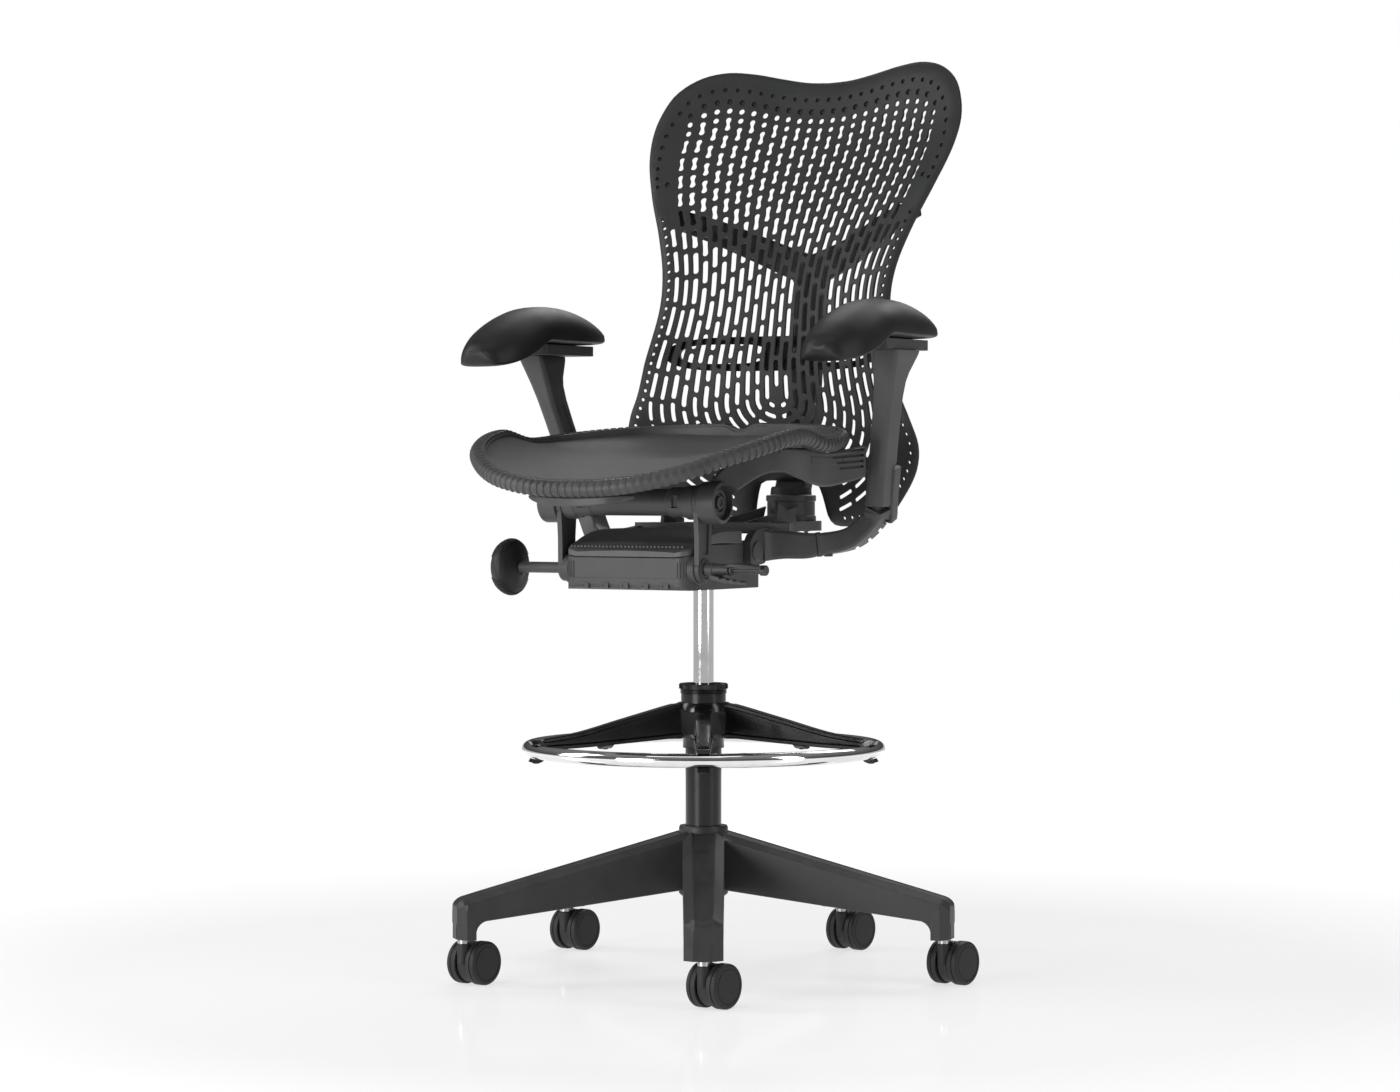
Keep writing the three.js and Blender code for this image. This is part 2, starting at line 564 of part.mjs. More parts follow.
function seatHeight(x, y) {
  const across = Math.min(Math.abs(x) / seatHalfWidthAt(y), 1);
  return lerp(centreHeight(y), sideHeight(y), across * across);
}

const turn = (i, count) => (2 * Math.PI * i) / count;

function seatFrame() {
  const count = 44;
  const rings = [];
  for (let i = 0; i < count; i += 1) {
    const angle = turn(i, count);
    const at = (inset) => seatOutline(angle, inset);
    const [x, y] = at(RIM_WIDTH / 2);
    const z = seatHeight(...at(0));
    const [ox, oy] = at(0);
    const outward = V(ox - x, oy - y, 0).normalize();
    rings.push(section(RIM_WIDTH - 1, RIM_HEIGHT, 7)
      .map(([a, b]) => V(x, y, z - RIM_HEIGHT / 2 + b).addScaledVector(outward, a)));
  }
  return loft(rings, true);
}

// A thin skin over nested copies of one outline: front(x, y) and back(x, y) give its two faces.
function membrane(outline, count, shares, lift) {
  const faces = [1, -1].map((sign) => shares.map((share) =>
    Array.from({ length: count }, (_, i) => lift(outline(i, share), sign))));
  const rings = [...faces[0], ...faces[1].reverse()];
  return loft(rings);
}

function seatMesh() {
  const middle = (SEAT_FRONT + SEAT_REAR) / 2;
  const inset = RIM_WIDTH + 1.5;
  const count = 32;
  const outline = (i, share) => {
    const [x, y] = seatOutline(turn(i, count), inset);
    return [x * share, middle + (y - middle) * share];
  };
  const shares = [0.02, 0.4, 0.7, 1];
  return membrane(outline, count, shares,
    ([x, y], sign) => V(x, y, seatHeight(x, y) - 7 + (sign * MESH_THICKNESS) / 2));
}

function seatPaddle() {
  const at = (x, behind, z) => V(x, SEAT_FRONT + behind, z);
  return bar([at(-80, 37, 665), at(-45, 23, 660), at(0, 18, 658), at(45, 23, 660),
    at(80, 37, 665)], (t) => [lerp(8, 18, Math.sin(Math.PI * t)), 4.5, 1.5], 12, AXIS_Y);
}

// ---- Back ---------------------------------------------------------------------------------------
const SHELL_MIDDLE = 950;
const SHELL_TOP = 1288;
const shellCentreLine = through([[615, 252], [660, 246], [730, 232], [790, 213], [850, 208],
  [880, 213], [975, 232], [1070, 272], [1190, 337], [1260, 360], [SHELL_TOP + 5, 367]]);
const shellDepth = (x, z) => shellCentreLine(z) - SHELL_PLAN_CURVE * x * x;
const SHELL_EDGE = [ // one half of the outline from the bottom notch up to the top notch
  [0, 684], [44, 682], [52, 664], [66, 624], [110, 621], [165, 632], [200, 662], [229, 700],
  [237, 732], [226, 775], [212, 810], [197, 880], [187, 940], [190, 985], [206, 1040],
  [230, 1100], [248, 1155], [252, 1195], [246, 1225], [230, 1256], [200, 1278], [162, SHELL_TOP - 1],
  [120, 1284], [75, 1275], [35, 1268], [0, 1266],
];

function shellOutline() {
  const points = SHELL_EDGE.map(([x, z]) => V(x, 0, z));
  const half = new THREE.CatmullRomCurve3(points, false, 'centripetal').getSpacedPoints(26);
  const other = half.slice(1, -1).reverse().map((p) => V(-p.x, 0, p.z));
  return [...half, ...other];
}

function backShell() {
  const edge = shellOutline();
  const outline = (i, share) => [edge[i].x * share, SHELL_MIDDLE + (edge[i].z - SHELL_MIDDLE) * share];
  const shares = [0.02, 0.35, 0.7, 1];
  return membrane(outline, edge.length, shares,
    ([x, z], sign) => V(x, shellDepth(x, z) + (sign * SHELL_THICKNESS) / 2, z));
}

const DRUM = { y: 252, radius: 36, top: 664 };
const PLATE = { bottom: 613, top: 627 };

function backYoke() {
  const cheek = (sign) => flip(cut(sidePlate([[-62, 574], [-62, 604], [-46, 618], [24, 625], [24, 602],
    [-24, 572]], CHEEK_X0, CHEEK_X1),
  rodX(YOKE_STUB_RADIUS + RUNNING, CHEEK_X0 - 1, CHEEK_X1 + 1, YOKE_PIVOT)), sign);
  const wing = (sign) => flip(bar([V(CHEEK_X0 + 5, -22, 597), V(CHEEK_X1 + 18, 2, 598), seamPoint(-12),
    seamPoint(-GAP)], (t) => [lerp(16, 22, t), lerp(44, 32, t), 4], 5, AXIS_Y), sign);
  const plate = planPlate(mirrored([[CHEEK_X1 - 2, -4], [CHEEK_X1 + 14, 22], [96, 66], [52, 140],
    [41, 190], [41, 270], [28, 292]]), PLATE.bottom, PLATE.top);
  const drum = rodZ(DRUM.radius, PLATE.bottom, DRUM.top).translate(0, DRUM.y, 0);
  return join(plate, drum, cheek(1), cheek(-1), wing(1), wing(-1));
}

function backSpine() {
  const root = V(0, DRUM.y + 6, DRUM.top + 8);
  const footBottom = DRUM.top + GAP;
  const behind = (x, z, off) => V(x, shellDepth(x, z) + off, z);
  const stem = bar([root, V(0, 276, 720), V(0, 292, 800), V(0, 304, 880), V(0, 314, 950),
    V(0, 318, 1010)], (t) => [lerp(50, 44, t), lerp(26, 14, t), 4], 8, AXIS_X);
  const arm = (sign) => flip(bar([V(0, 316, 988), V(60, 312, 1012), behind(130, 1044, 36),
    behind(178, 1062, 19), behind(206, 1070, 14)],
  (t) => [lerp(38, 24, t), lerp(14, 9, t), 3], 8, V(0, 0, 1)), sign);
  const foot = turned([[0, footBottom], [30, footBottom], [28, footBottom + 12],
    [0, footBottom + 12]])
    .translate(0, DRUM.y, 0);
  return join(stem, arm(1), arm(-1), foot);
}

function lumbarBand() {
  const [half, bottom, top, off] = [194, 842, 892, 9];
  const rings = [];
  const columns = 14;
  for (let k = 0; k <= columns; k += 1) {
    const x = lerp(-half, half, k / columns);
    const ease = Math.sqrt(1 - Math.min(Math.abs(x / half), 0.97) ** 6);
    const middle = (bottom + top) / 2;
    const reach = ((top - bottom) / 2) * ease;
    rings.push([[reach, -2], [reach, 2], [-reach, 2], [-reach, -2]].map(([dz, dy]) =>
      V(x, shellDepth(x, middle + dz) + off + dy, middle + dz)));
  }
  return loft(rings);
}

// ---- Arms ---------------------------------------------------------------------------------------
const ARM_MID = { x: SEAT_HALF_WIDTH + 24, y: 34.5, z: 800 };
const ARM_LEAN = { x: 0.231, y: -0.26 }; // sideways and fore-aft run per unit of rise
const armLine = (z) => V(ARM_MID.x + ARM_LEAN.x * (z - ARM_MID.z),
  ARM_MID.y + ARM_LEAN.y * (z - ARM_MID.z), z);
const UPRIGHT = { bottom: 650, top: 862, width: 45, thickness: 28 };
const TONGUE = { width: 26, thickness: 10, top: 752 };
const SEAM = V(HOUSING_HALF_WIDTH + 65, 26, 598); // where each arm bracket bolts to the yoke
const SEAM_DIRECTION = V(34, 22, 4).normalize();
const seamPoint = (along) => SEAM.clone().addScaledVector(SEAM_DIRECTION, along);
const MOUNT = { x: ARM_MID.x - 1, y0: -28, y1: 100, halfWidth: 30, bottom: 863, top: 877 };
const PAD_TOE_DEGREES = 3;

function armBracket() {
  const end = armLine(UPRIGHT.bottom - 16);
  const elbow = V(lerp(SEAM.x, end.x, 0.65), 59, 609);
  const curve = bar([seamPoint(GAP), seamPoint(12), elbow, end, armLine(UPRIGHT.bottom - 4)],
    (t) => [lerp(22, 42, t), lerp(32, 25, t), 4], 8, AXIS_Y);
  const tongue = bar([armLine(UPRIGHT.bottom - 12), armLine(700), armLine(TONGUE.top)],
    () => [TONGUE.width, TONGUE.thickness, 1.5], 2, AXIS_Y);
  return join(curve, tongue);
}

function armUpright() {
  const { bottom, top, width, thickness } = UPRIGHT;
  const post = bar([armLine(bottom), armLine((bottom + top) / 2), armLine(top - 34)],
    () => [width, thickness, 7], 3, AXIS_Y, 2);
  const ring = (z, half, depth0, depth1) => {
    const c = armLine(z);
    return [V(c.x - half, depth0, z), V(c.x + half, depth0, z), V(c.x + half, depth1, z),
      V(c.x - half, depth1, z)];
  };
  const head = loft([
    ring(top - 40, 14, armLine(top - 40).y - 22, armLine(top - 40).y + 23),
    ring(top, 20, armLine(top).y - 24, armLine(top).y + 46),
  ]);
  const slot = bar([armLine(bottom - 10), armLine(700), armLine(TONGUE.top + 10)],
    () => [TONGUE.width + 2, TONGUE.thickness + 2, 1.5], 2, AXIS_Y);
  return cut(join(post, head), slot);
}

function armLock() {
  const rear = UPRIGHT.width / 2 + 1;
  const at = (z, back) => armLine(z).add(V(-4, rear + back, 0));
  return bar([at(702, 5), at(668, 6.5), at(636, 12)], (t) => [lerp(8, 9, t), lerp(18, 14, t), 2.5], 3,
    AXIS_Y);
}

function armMount() {
  const { x, y0, y1, halfWidth, bottom, top } = MOUNT;
  return planPlate([[x - halfWidth, y0 + 8], [x - halfWidth + 8, y0], [x + halfWidth - 8, y0],
    [x + halfWidth, y0 + 8], [x + halfWidth, y1 - 4], [x + halfWidth - 4, y1],
    [x - halfWidth + 4, y1], [x - halfWidth, y1 - 4]], bottom, top);
}

function armPad() {
  const under = through([[-162, 852], [-150, 844], [-120, 848], [-80, 862], [-50, 877], [-36, 879],
    [0, 878.5], [60, 878.5], [110, 880], [128, 890]]);
  const over = through([[-162, 866], [-150, 880], [-120, 898], [-80, 916], [-20, 930], [50, 930],
    [100, 917], [120, 905], [128, 897]]);
  const half = through([[-162, 14], [-150, 32], [-120, 45], [-70, PAD_WIDTH / 2], [40, PAD_WIDTH / 2 - 2],
    [90, 42], [116, 30], [128, 12]]);
  const [front, rear] = [-162, 128];
  const rows = 14;
  const rings = [];
  for (let k = 0; k <= rows; k += 1) {
    const share = (1 - Math.cos((Math.PI * k) / rows)) / 2;
    const y = lerp(front, rear, share);
    const low = under(y);
    const high = over(y);
    rings.push(Array.from({ length: 12 }, (_, i) => {
      const angle = turn(i, 12);
      const [c, s] = [Math.cos(angle), Math.sin(angle)];
      const x = half(y) * Math.sign(c) * Math.abs(c) ** 0.8;
      return V(x, y, (low + high) / 2 + ((high - low) / 2) * Math.sign(s) * Math.abs(s) ** 0.8);
    }));
  }
  return loft(rings).scale(1, PAD_LENGTH / (rear - front), 1)
    .rotateZ(degToRad(PAD_TOE_DEGREES)).translate(MOUNT.x, 0, 0);
}

// ---- Assembly -----------------------------------------------------------------------------------
add('star_base', starBase(), GRAPHITE);
addCasters();
add('column_tube', columnTube(), GLOSS_BLACK);
add('gas_rod', gasRod(), CHROME);
add('gas_release_pin', gasPin(), STEEL);
add('foot_ring', footRing(), CHROME);
add('foot_ring_hub', footRingHub(), GLOSS_BLACK);
add('foot_ring_collar', footRingCollar(), GLOSS_BLACK);
add('tilt_housing', tiltHousing(), GRAPHITE);
add('housing_cover', housingCover(), DARK_SHELL);
add('tension_knob', tensionKnob(), SOFT_BLACK);
add('tension_shaft', tensionShaft(), STEEL);
add('height_lever', heightLever(), GRAPHITE);
add('tilt_lever', tiltLever(), GRAPHITE);
add('cross_tube', crossTube(), GRAPHITE);
add('seat_frame', seatFrame(), GRAPHITE);
add('seat_mesh', seatMesh(), MESH_GREY);
add('seat_paddle', seatPaddle(), GRAPHITE);
add('back_yoke', backYoke(), GRAPHITE);
add('back_shell', backShell(), DARK_SHELL);
add('back_spine', backSpine(), DARK_SHELL);
add('lumbar_band', lumbarBand(), DARK_SHELL);
for (const [side, sign] of SIDES) {
  add(`front_link_${side}`, flip(frontLink(), sign), GRAPHITE);
  add(`seat_rail_${side}`, flip(seatRail(), sign), GRAPHITE);
  add(`arm_bracket_${side}`, flip(armBracket(), sign), GRAPHITE);
  add(`arm_upright_${side}`, flip(armUpright(), sign), GRAPHITE);
  add(`arm_lock_${side}`, flip(armLock(), sign), GRAPHITE);
  add(`arm_mount_${side}`, flip(armMount(), sign), GRAPHITE);
  add(`arm_pad_${side}`, flip(armPad(), sign), SOFT_BLACK);
}

chair.updateMatrixWorld(true);
const box = new THREE.Box3().setFromObject(chair, true);
chair.position.set(-(box.min.x + box.max.x) / 2, -(box.min.y + box.max.y) / 2, -box.min.z);

export default chair;
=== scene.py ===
import math

import bpy
from bpy.props import FloatProperty, FloatVectorProperty, IntProperty, PointerProperty
from mathutils import Matrix, Vector
from mathutils.geometry import delaunay_2d_cdt


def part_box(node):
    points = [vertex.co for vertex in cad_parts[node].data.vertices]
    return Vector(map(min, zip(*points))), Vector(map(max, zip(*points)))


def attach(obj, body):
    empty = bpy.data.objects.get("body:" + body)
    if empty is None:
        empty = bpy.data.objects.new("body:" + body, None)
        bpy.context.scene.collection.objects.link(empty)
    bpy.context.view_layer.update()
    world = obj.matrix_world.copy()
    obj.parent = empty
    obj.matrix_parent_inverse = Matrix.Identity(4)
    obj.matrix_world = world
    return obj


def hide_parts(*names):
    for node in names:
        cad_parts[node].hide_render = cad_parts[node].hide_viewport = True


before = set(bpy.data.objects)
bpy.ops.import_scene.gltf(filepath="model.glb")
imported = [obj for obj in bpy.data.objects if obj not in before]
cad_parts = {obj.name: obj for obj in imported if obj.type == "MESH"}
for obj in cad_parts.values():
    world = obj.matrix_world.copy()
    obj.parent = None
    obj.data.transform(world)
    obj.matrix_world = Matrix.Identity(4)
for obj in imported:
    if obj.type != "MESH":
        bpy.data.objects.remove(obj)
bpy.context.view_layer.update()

# Drafting chair: the shapes and finishes that stand on the CAD frame. Shapes are worked out in
# millimetres about the swivel axis, with +Z up and the sitter facing -Y, and are turned into
# metres in the row frame as each mesh is made.

bl_info = {
    "name": "Drafting chair",
    "version": (1, 0, 0),
    "blender": (4, 5, 0),
    "location": "View3D > Sidebar > Chair",
    "description": "Builds the visible pieces of a tall work chair on its CAD frame",
    "category": "Add Mesh",
}

MM = 0.001


def centre_of(node):
    """Middle of a CAD node's box, in metres."""
    low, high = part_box(node)
    return (low + high) / 2


ROD_CENTRE = centre_of("gas_rod")
SWIVEL = Vector((ROD_CENTRE.x, ROD_CENTRE.y, 0))  # foot of the swivel axis

# ---- Sizes shared by several pieces, in millimetres about the swivel axis ----
LEG_ANGLES = [math.radians(-60 + 72 * i) for i in range(5)]
STEM_CIRCLE = 343
WHEEL_RADIUS = 30
CASTER_TRAIL = 22
CASTER_TURN = math.radians(-8.3)
COLUMN_RADIUS = 25
ROD_RADIUS = 14
RING_RADIUS = 241.5
RING_TUBE = 9.5
RING_HEIGHT = 316
HUB_TOP = 209
POST_BOTTOM = 64
HOUSING_HALF = 98
LOWER_PIVOT = (-186, 568)
UPPER_PIVOT = (-186, 657)
YOKE_PIVOT = (-45, 590)
SEAT_HALF, SEAT_FRONT, SEAT_REAR = 245, -355, 120
RIM_WIDTH = 24
SIDES = (("left", 1), ("right", -1))


# ---- Curves and sections ----
def lerp(a, b, t):
    """Straight blend from a to b."""
    return a + (b - a) * t


def clamp(value, low=0.0, high=1.0):
    """value held between low and high."""
    return max(low, min(high, value))


def through(*pairs):
    """A smooth function through (input, value) pairs, level with its neighbours at each pair."""
    def slope(i):
        """Steepness at pair i."""
        a, b = pairs[max(i - 1, 0)], pairs[min(i + 1, len(pairs) - 1)]
        return (b[1] - a[1]) / (b[0] - a[0])

    def value(at):
        """The function's value at an input."""
        i = next((k for k, pair in enumerate(pairs) if pair[0] >= at), len(pairs) - 1)
        i = max(i - 1, 0)
        (x0, y0), (x1, y1) = pairs[i], pairs[i + 1]
        t = clamp((at - x0) / (x1 - x0))
        run = x1 - x0
        return (y0 * (2 * t ** 3 - 3 * t ** 2 + 1) + y1 * (3 * t ** 2 - 2 * t ** 3)
                + slope(i) * run * (t ** 3 - 2 * t ** 2 + t) + slope(i + 1) * run * (t ** 3 - t ** 2))
    return value


def curve_point(points, t):
    """A point of the centripetal curve through points, t from 0 to 1."""
    count = len(points)
    place = clamp(t) * (count - 1)
    i = min(int(place), count - 2)
    u = place - i
    p1, p2 = points[i], points[i + 1]
    p0 = points[i - 1] if i > 0 else 2 * p1 - p2
    p3 = points[i + 2] if i + 2 < count else 2 * p2 - p1
    d0, d1, d2 = (max((b - a).length ** 0.5, 1e-4) for a, b in ((p0, p1), (p1, p2), (p2, p3)))
    m1 = ((p1 - p0) / d0 - (p2 - p0) / (d0 + d1) + (p2 - p1) / d1) * d1
    m2 = ((p2 - p1) / d1 - (p3 - p1) / (d1 + d2) + (p3 - p2) / d2) * d1
    return (p1 + m1 * u + (3 * (p2 - p1) - 2 * m1 - m2) * u ** 2
            + (2 * (p1 - p2) + m1 + m2) * u ** 3)


def even_points(points, count, samples=900):
    """count points at even steps of length along the curve through points."""
    path = [curve_point(points, k / samples) for k in range(samples + 1)]
    runs = [0.0]
    for a, b in zip(path, path[1:]):
        runs.append(runs[-1] + (b - a).length)
    found, k = [], 0
    for n in range(count):
        goal = runs[-1] * n / (count - 1)
        while k < samples - 1 and runs[k + 1] < goal:
            k += 1
        span = max(runs[k + 1] - runs[k], 1e-9)
        found.append(path[k].lerp(path[k + 1], (goal - runs[k]) / span))
    return found


def rounded(width, height, corner, steps=3):
    """Points of a rectangle with round corners, about its centre."""
    points = []
    for sx, sy, start in ((1, 1, 0), (-1, 1, 90), (-1, -1, 180), (1, -1, 270)):
        for k in range(steps + 1):
            angle = math.radians(start + 90 * k / steps)
            points.append((sx * (width / 2 - corner) + corner * math.cos(angle),
                           sy * (height / 2 - corner) + corner * math.sin(angle)))
    return points


# ---- Shapes: (points, faces), before they become meshes ----
def loft(rings, loop=False):
    """A skin over rings of equal point count, with flat ends unless it closes on itself."""
    count = len(rings[0])
    points = [Vector(p) for ring in rings for p in ring]
    faces = []
    for row in range(len(rings) if loop else len(rings) - 1):
        after = (row + 1) % len(rings)
        for i in range(count):
            j = (i + 1) % count
            faces.append((row * count + i, row * count + j, after * count + j, after * count + i))
    if not loop:
        faces.append(tuple(reversed(range(count))))
        faces.append(tuple(range((len(rings) - 1) * count, len(rings) * count)))
    return outward((points, faces))


def outward(shape):
    """The same closed shape with its faces pointing out."""
    points, faces = shape
    volume = 0.0
    for face in faces:
        a = points[face[0]]
        for b, c in zip(face[1:], face[2:]):
            volume += a.dot(points[b].cross(points[c]))
    return shape if volume > 0 else (points, [tuple(reversed(face)) for face in faces])


def bar(path, size, steps, side, corner_steps=3):
    """A bar along a smooth path: size(t) gives (width towards side, height, corner)."""
    path = [Vector(p) for p in path]
    rings = []
    for k in range(steps + 1):
        t = k / steps
        tangent = (curve_point(path, t + 0.002) - curve_point(path, t - 0.002)).normalized()
        across = (Vector(side) - tangent * tangent.dot(Vector(side))).normalized()
        up = tangent.cross(across)
        middle = curve_point(path, t)
        rings.append([middle + across * a + up * b for a, b in rounded(*size(t), corner_steps)])
    return loft(rings)


def side_plate(outline, x0, x1):
    """A flat outline in Y and Z with a thickness from x0 to x1."""
    return loft([[(x, y, z) for y, z in outline] for x in (x0, x1)])


def plan_plate(outline, z0, z1):
    """A flat outline in X and Y with a height from z0 to z1."""
    return loft([[(x, y, z) for x, y in outline] for z in (z0, z1)])


def both_halves(outline):
    """A half outline and its mirror across X = 0, as one closed outline."""
    return list(outline) + [(-x, y) for x, y in reversed(outline)]


def turned(profile, segments=64, axis="Z", at=(0, 0, 0)):
    """A turned shape; the profile is (radius, height) pairs, from the axis to the axis or closed."""
    points, faces, rows = [], [], []
    for radius, height in profile:
        if radius < 1e-6:
            rows.append([len(points)] * segments)
            points.append(Vector((0, 0, height)))
            continue
        rows.append(list(range(len(points), len(points) + segments)))
        for k in range(segments):
            angle = 2 * math.pi * k / segments
            points.append(Vector((radius * math.cos(angle), radius * math.sin(angle), height)))
    for a, b in zip(rows, rows[1:] if profile[0][0] < 1e-6 else rows[1:] + rows[:1]):
        for k in range(segments):
            n = (k + 1) % segments
            face = tuple(dict.fromkeys((a[k], a[n], b[n], b[k])))
            if len(face) > 2:
                faces.append(face)
    spin = Matrix.Rotation(math.pi / 2, 4, "Y") if axis == "X" else Matrix.Identity(4)
    return outward(moved((points, faces), Matrix.Translation(at) @ spin))


def rod(radius, low, high, segments=48, axis="Z", at=(0, 0, 0), edge=0.6):
    """A plain turned rod with eased ends."""
    return turned([(0, low), (radius - edge, low), (radius, low + edge), (radius, high - edge),
                   (radius - edge, high), (0, high)], segments, axis, at)


def rod_x(radius, x0, x1, pivot, segments=48, edge=0.6):
    """A rod along X about a pivot (y, z)."""
    return rod(radius, x0, x1, segments, "X", (0, *pivot), edge)


def moved(shape, matrix):
    """The shape under a matrix."""
    return outward(([matrix @ p for p in shape[0]], shape[1])) if matrix.determinant() < 0 else (
        [matrix @ p for p in shape[0]], shape[1])


def mirrored(shape, sign):
    """The shape on the sitter's left (1) or right (-1)."""
    return shape if sign > 0 else moved(shape, Matrix.Scale(-1, 4, (1, 0, 0)))


def spun(shape, angle):
    """The shape turned about the swivel axis."""
    return moved(shape, Matrix.Rotation(angle, 4, "Z"))


def box_shape(low, high):
    """A plain block, used as a cutter."""
    (x0, y0, z0), (x1, y1, z1) = low, high
    return plan_plate([(x0, y0), (x1, y0), (x1, y1), (x0, y1)], z0, z1)


def oriented_block(size, matrix):
    """A block of a given size about its centre, placed by a matrix."""
    half = [s / 2 for s in size]
    return moved(box_shape([-h for h in half], half), matrix)


# ---- Meshes ----
def mesh_object(name, shape):
    """A new object at the origin whose mesh holds the shape in metres in the row frame."""
    mesh = bpy.data.meshes.new(name)
    mesh.from_pydata([p * MM + SWIVEL for p in shape[0]], [], shape[1])
    mesh.validate()
    made = bpy.data.objects.new(name, mesh)
    bpy.context.scene.collection.objects.link(made)
    return made


def applied(made):
    """Turns the object's live modifiers into its plain mesh."""
    bpy.context.view_layer.update()
    graph = bpy.context.evaluated_depsgraph_get()
    old = made.data
    made.data = bpy.data.meshes.new_from_object(made.evaluated_get(graph))
    made.modifiers.clear()
    bpy.data.meshes.remove(old)
    made.data.name = made.name
    return made


def discard(*objects):
    """Removes helper objects and their meshes."""
    for helper in objects:
        data = helper.data
        bpy.data.objects.remove(helper)
        if isinstance(data, bpy.types.Mesh):
            bpy.data.meshes.remove(data)


def worked(made, added=(), cuts=(), kept=()):
    """Adds shapes to an object, takes the cuts away and keeps what is inside the kept shapes."""
    helpers = []
    for kind, shapes in (("UNION", added), ("DIFFERENCE", cuts), ("INTERSECT", kept)):
        for shape in shapes:
            helper = mesh_object(f"{made.name}_tool", shape)
            helpers.append(helper)
            step = made.modifiers.new(kind, "BOOLEAN")
            step.operation, step.solver, step.object = kind, "MANIFOLD", helper
    if helpers:
        applied(made)
        discard(*helpers)
    return made


def built(name, shapes, cuts=()):
    """One object that joins closed shapes and takes the cuts away."""
    return worked(mesh_object(name, shapes[0]), shapes[1:], cuts)


def eased(made, width, segments=2, angle=32):
    """Rounds the object's sharp edges by width, in millimetres."""
    step = made.modifiers.new("Ease", "BEVEL")
    step.width, step.segments, step.limit_method = width * MM, segments, "ANGLE"
    step.angle_limit, step.miter_outer = math.radians(angle), "MITER_SHARP"
    return applied(made)


def gathered(name, *objects):
    """Joins objects into one, which keeps the name."""
    first = objects[0]
    with bpy.context.temp_override(active_object=first, object=first,
                                   selected_editable_objects=list(objects)):
        bpy.ops.object.join()
    first.name = first.data.name = name
    return first


def settle(made, body, slot, *nodes, sharp=38):
    """Gives a finished piece its shading, finish, CAD body and the nodes it stands for."""
    made.data.materials.clear()
    made.data.materials.append(finish(slot))
    made.data.polygons.foreach_set("material_index", [0] * len(made.data.polygons))
    made.data.shade_smooth()
    made.data.set_sharp_from_angle(angle=math.radians(sharp))
    step = made.modifiers.new("Even shading", "WEIGHTED_NORMAL")
    step.keep_sharp = True
    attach(made, body)
    if nodes:
        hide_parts(*nodes)
    return made


# ---- Repeats ----
def tree_socket(tree, name, kind, way="INPUT", default=None):
    """A named socket on a node tree's interface."""
    socket = tree.interface.new_socket(name=name, in_out=way, socket_type=kind)
    if default is not None:
        socket.default_value = default
    return socket


def repeat_tree():
    """Geometry nodes that stand a unit on every spot, turned and sized by the spot's attributes."""
    name = "Repeat on spots"
    if name in bpy.data.node_groups:
        return bpy.data.node_groups[name]
    tree = bpy.data.node_groups.new(name, "GeometryNodeTree")
    tree_socket(tree, "Spots", "NodeSocketGeometry")
    tree_socket(tree, "Unit", "NodeSocketObject")
    tree_socket(tree, "Unit Scale", "NodeSocketFloat", default=1.0)
    tree_socket(tree, "Finish", "NodeSocketMaterial")
    tree_socket(tree, "Repeats", "NodeSocketGeometry", "OUTPUT")
    node, link = tree.nodes.new, tree.links.new
    entry, leave = node("NodeGroupInput"), node("NodeGroupOutput")
    unit, turn, size = (node("GeometryNodeObjectInfo"), node("GeometryNodeInputNamedAttribute"),
                        node("GeometryNodeInputNamedAttribute"))
    turn.data_type = size.data_type = "FLOAT_VECTOR"
    turn.inputs["Name"].default_value, size.inputs["Name"].default_value = "turn", "size"
    scale, points = node("ShaderNodeVectorMath"), node("GeometryNodeMeshToPoints")
    scale.operation = "SCALE"
    stand, real, paint = (node("GeometryNodeInstanceOnPoints"), node("GeometryNodeRealizeInstances"),
                          node("GeometryNodeSetMaterial"))
    link(entry.outputs["Spots"], points.inputs["Mesh"])
    link(entry.outputs["Unit"], unit.inputs["Object"])
    link(size.outputs["Attribute"], scale.inputs[0])
    link(entry.outputs["Unit Scale"], scale.inputs["Scale"])
    link(points.outputs["Points"], stand.inputs["Points"])
    link(unit.outputs["Geometry"], stand.inputs["Instance"])
    link(turn.outputs["Attribute"], stand.inputs["Rotation"])
    link(scale.outputs["Vector"], stand.inputs["Scale"])
    link(stand.outputs["Instances"], real.inputs["Geometry"])
    link(real.outputs["Geometry"], paint.inputs["Geometry"])
    link(entry.outputs["Finish"], paint.inputs["Material"])
    link(paint.outputs["Geometry"], leave.inputs["Repeats"])
    return tree


def repeated(name, unit_shape, places, slot, scale=1.0):
    """Copies of a small shape at matrices (millimetres about the swivel axis), as one plain mesh."""
    unit = bpy.data.meshes.new(f"{name}_unit")
    unit.from_pydata([p * MM for p in unit_shape[0]], [], unit_shape[1])
    unit_object = bpy.data.objects.new(f"{name}_unit", unit)
    bpy.context.scene.collection.objects.link(unit_object)
    spots = bpy.data.meshes.new(name)
    spots.from_pydata([place.translation * MM + SWIVEL for place in places], [], [])
    turn = spots.attributes.new("turn", "FLOAT_VECTOR", "POINT")
    size = spots.attributes.new("size", "FLOAT_VECTOR", "POINT")
    for i, place in enumerate(places):
        turn.data[i].vector = place.to_euler()
        size.data[i].vector = place.to_scale()
    made = bpy.data.objects.new(name, spots)
    bpy.context.scene.collection.objects.link(made)
    step = made.modifiers.new("Repeat", "NODES")
    step.node_group = repeat_tree()
    names = {item.name: item.identifier for item in step.node_group.interface.items_tree
             if item.in_out == "INPUT"}
    step[names["Unit"]] = unit_object
    step[names["Unit Scale"]] = scale
    step[names["Finish"]] = finish(slot)
    applied(made)
    discard(unit_object)
    return made


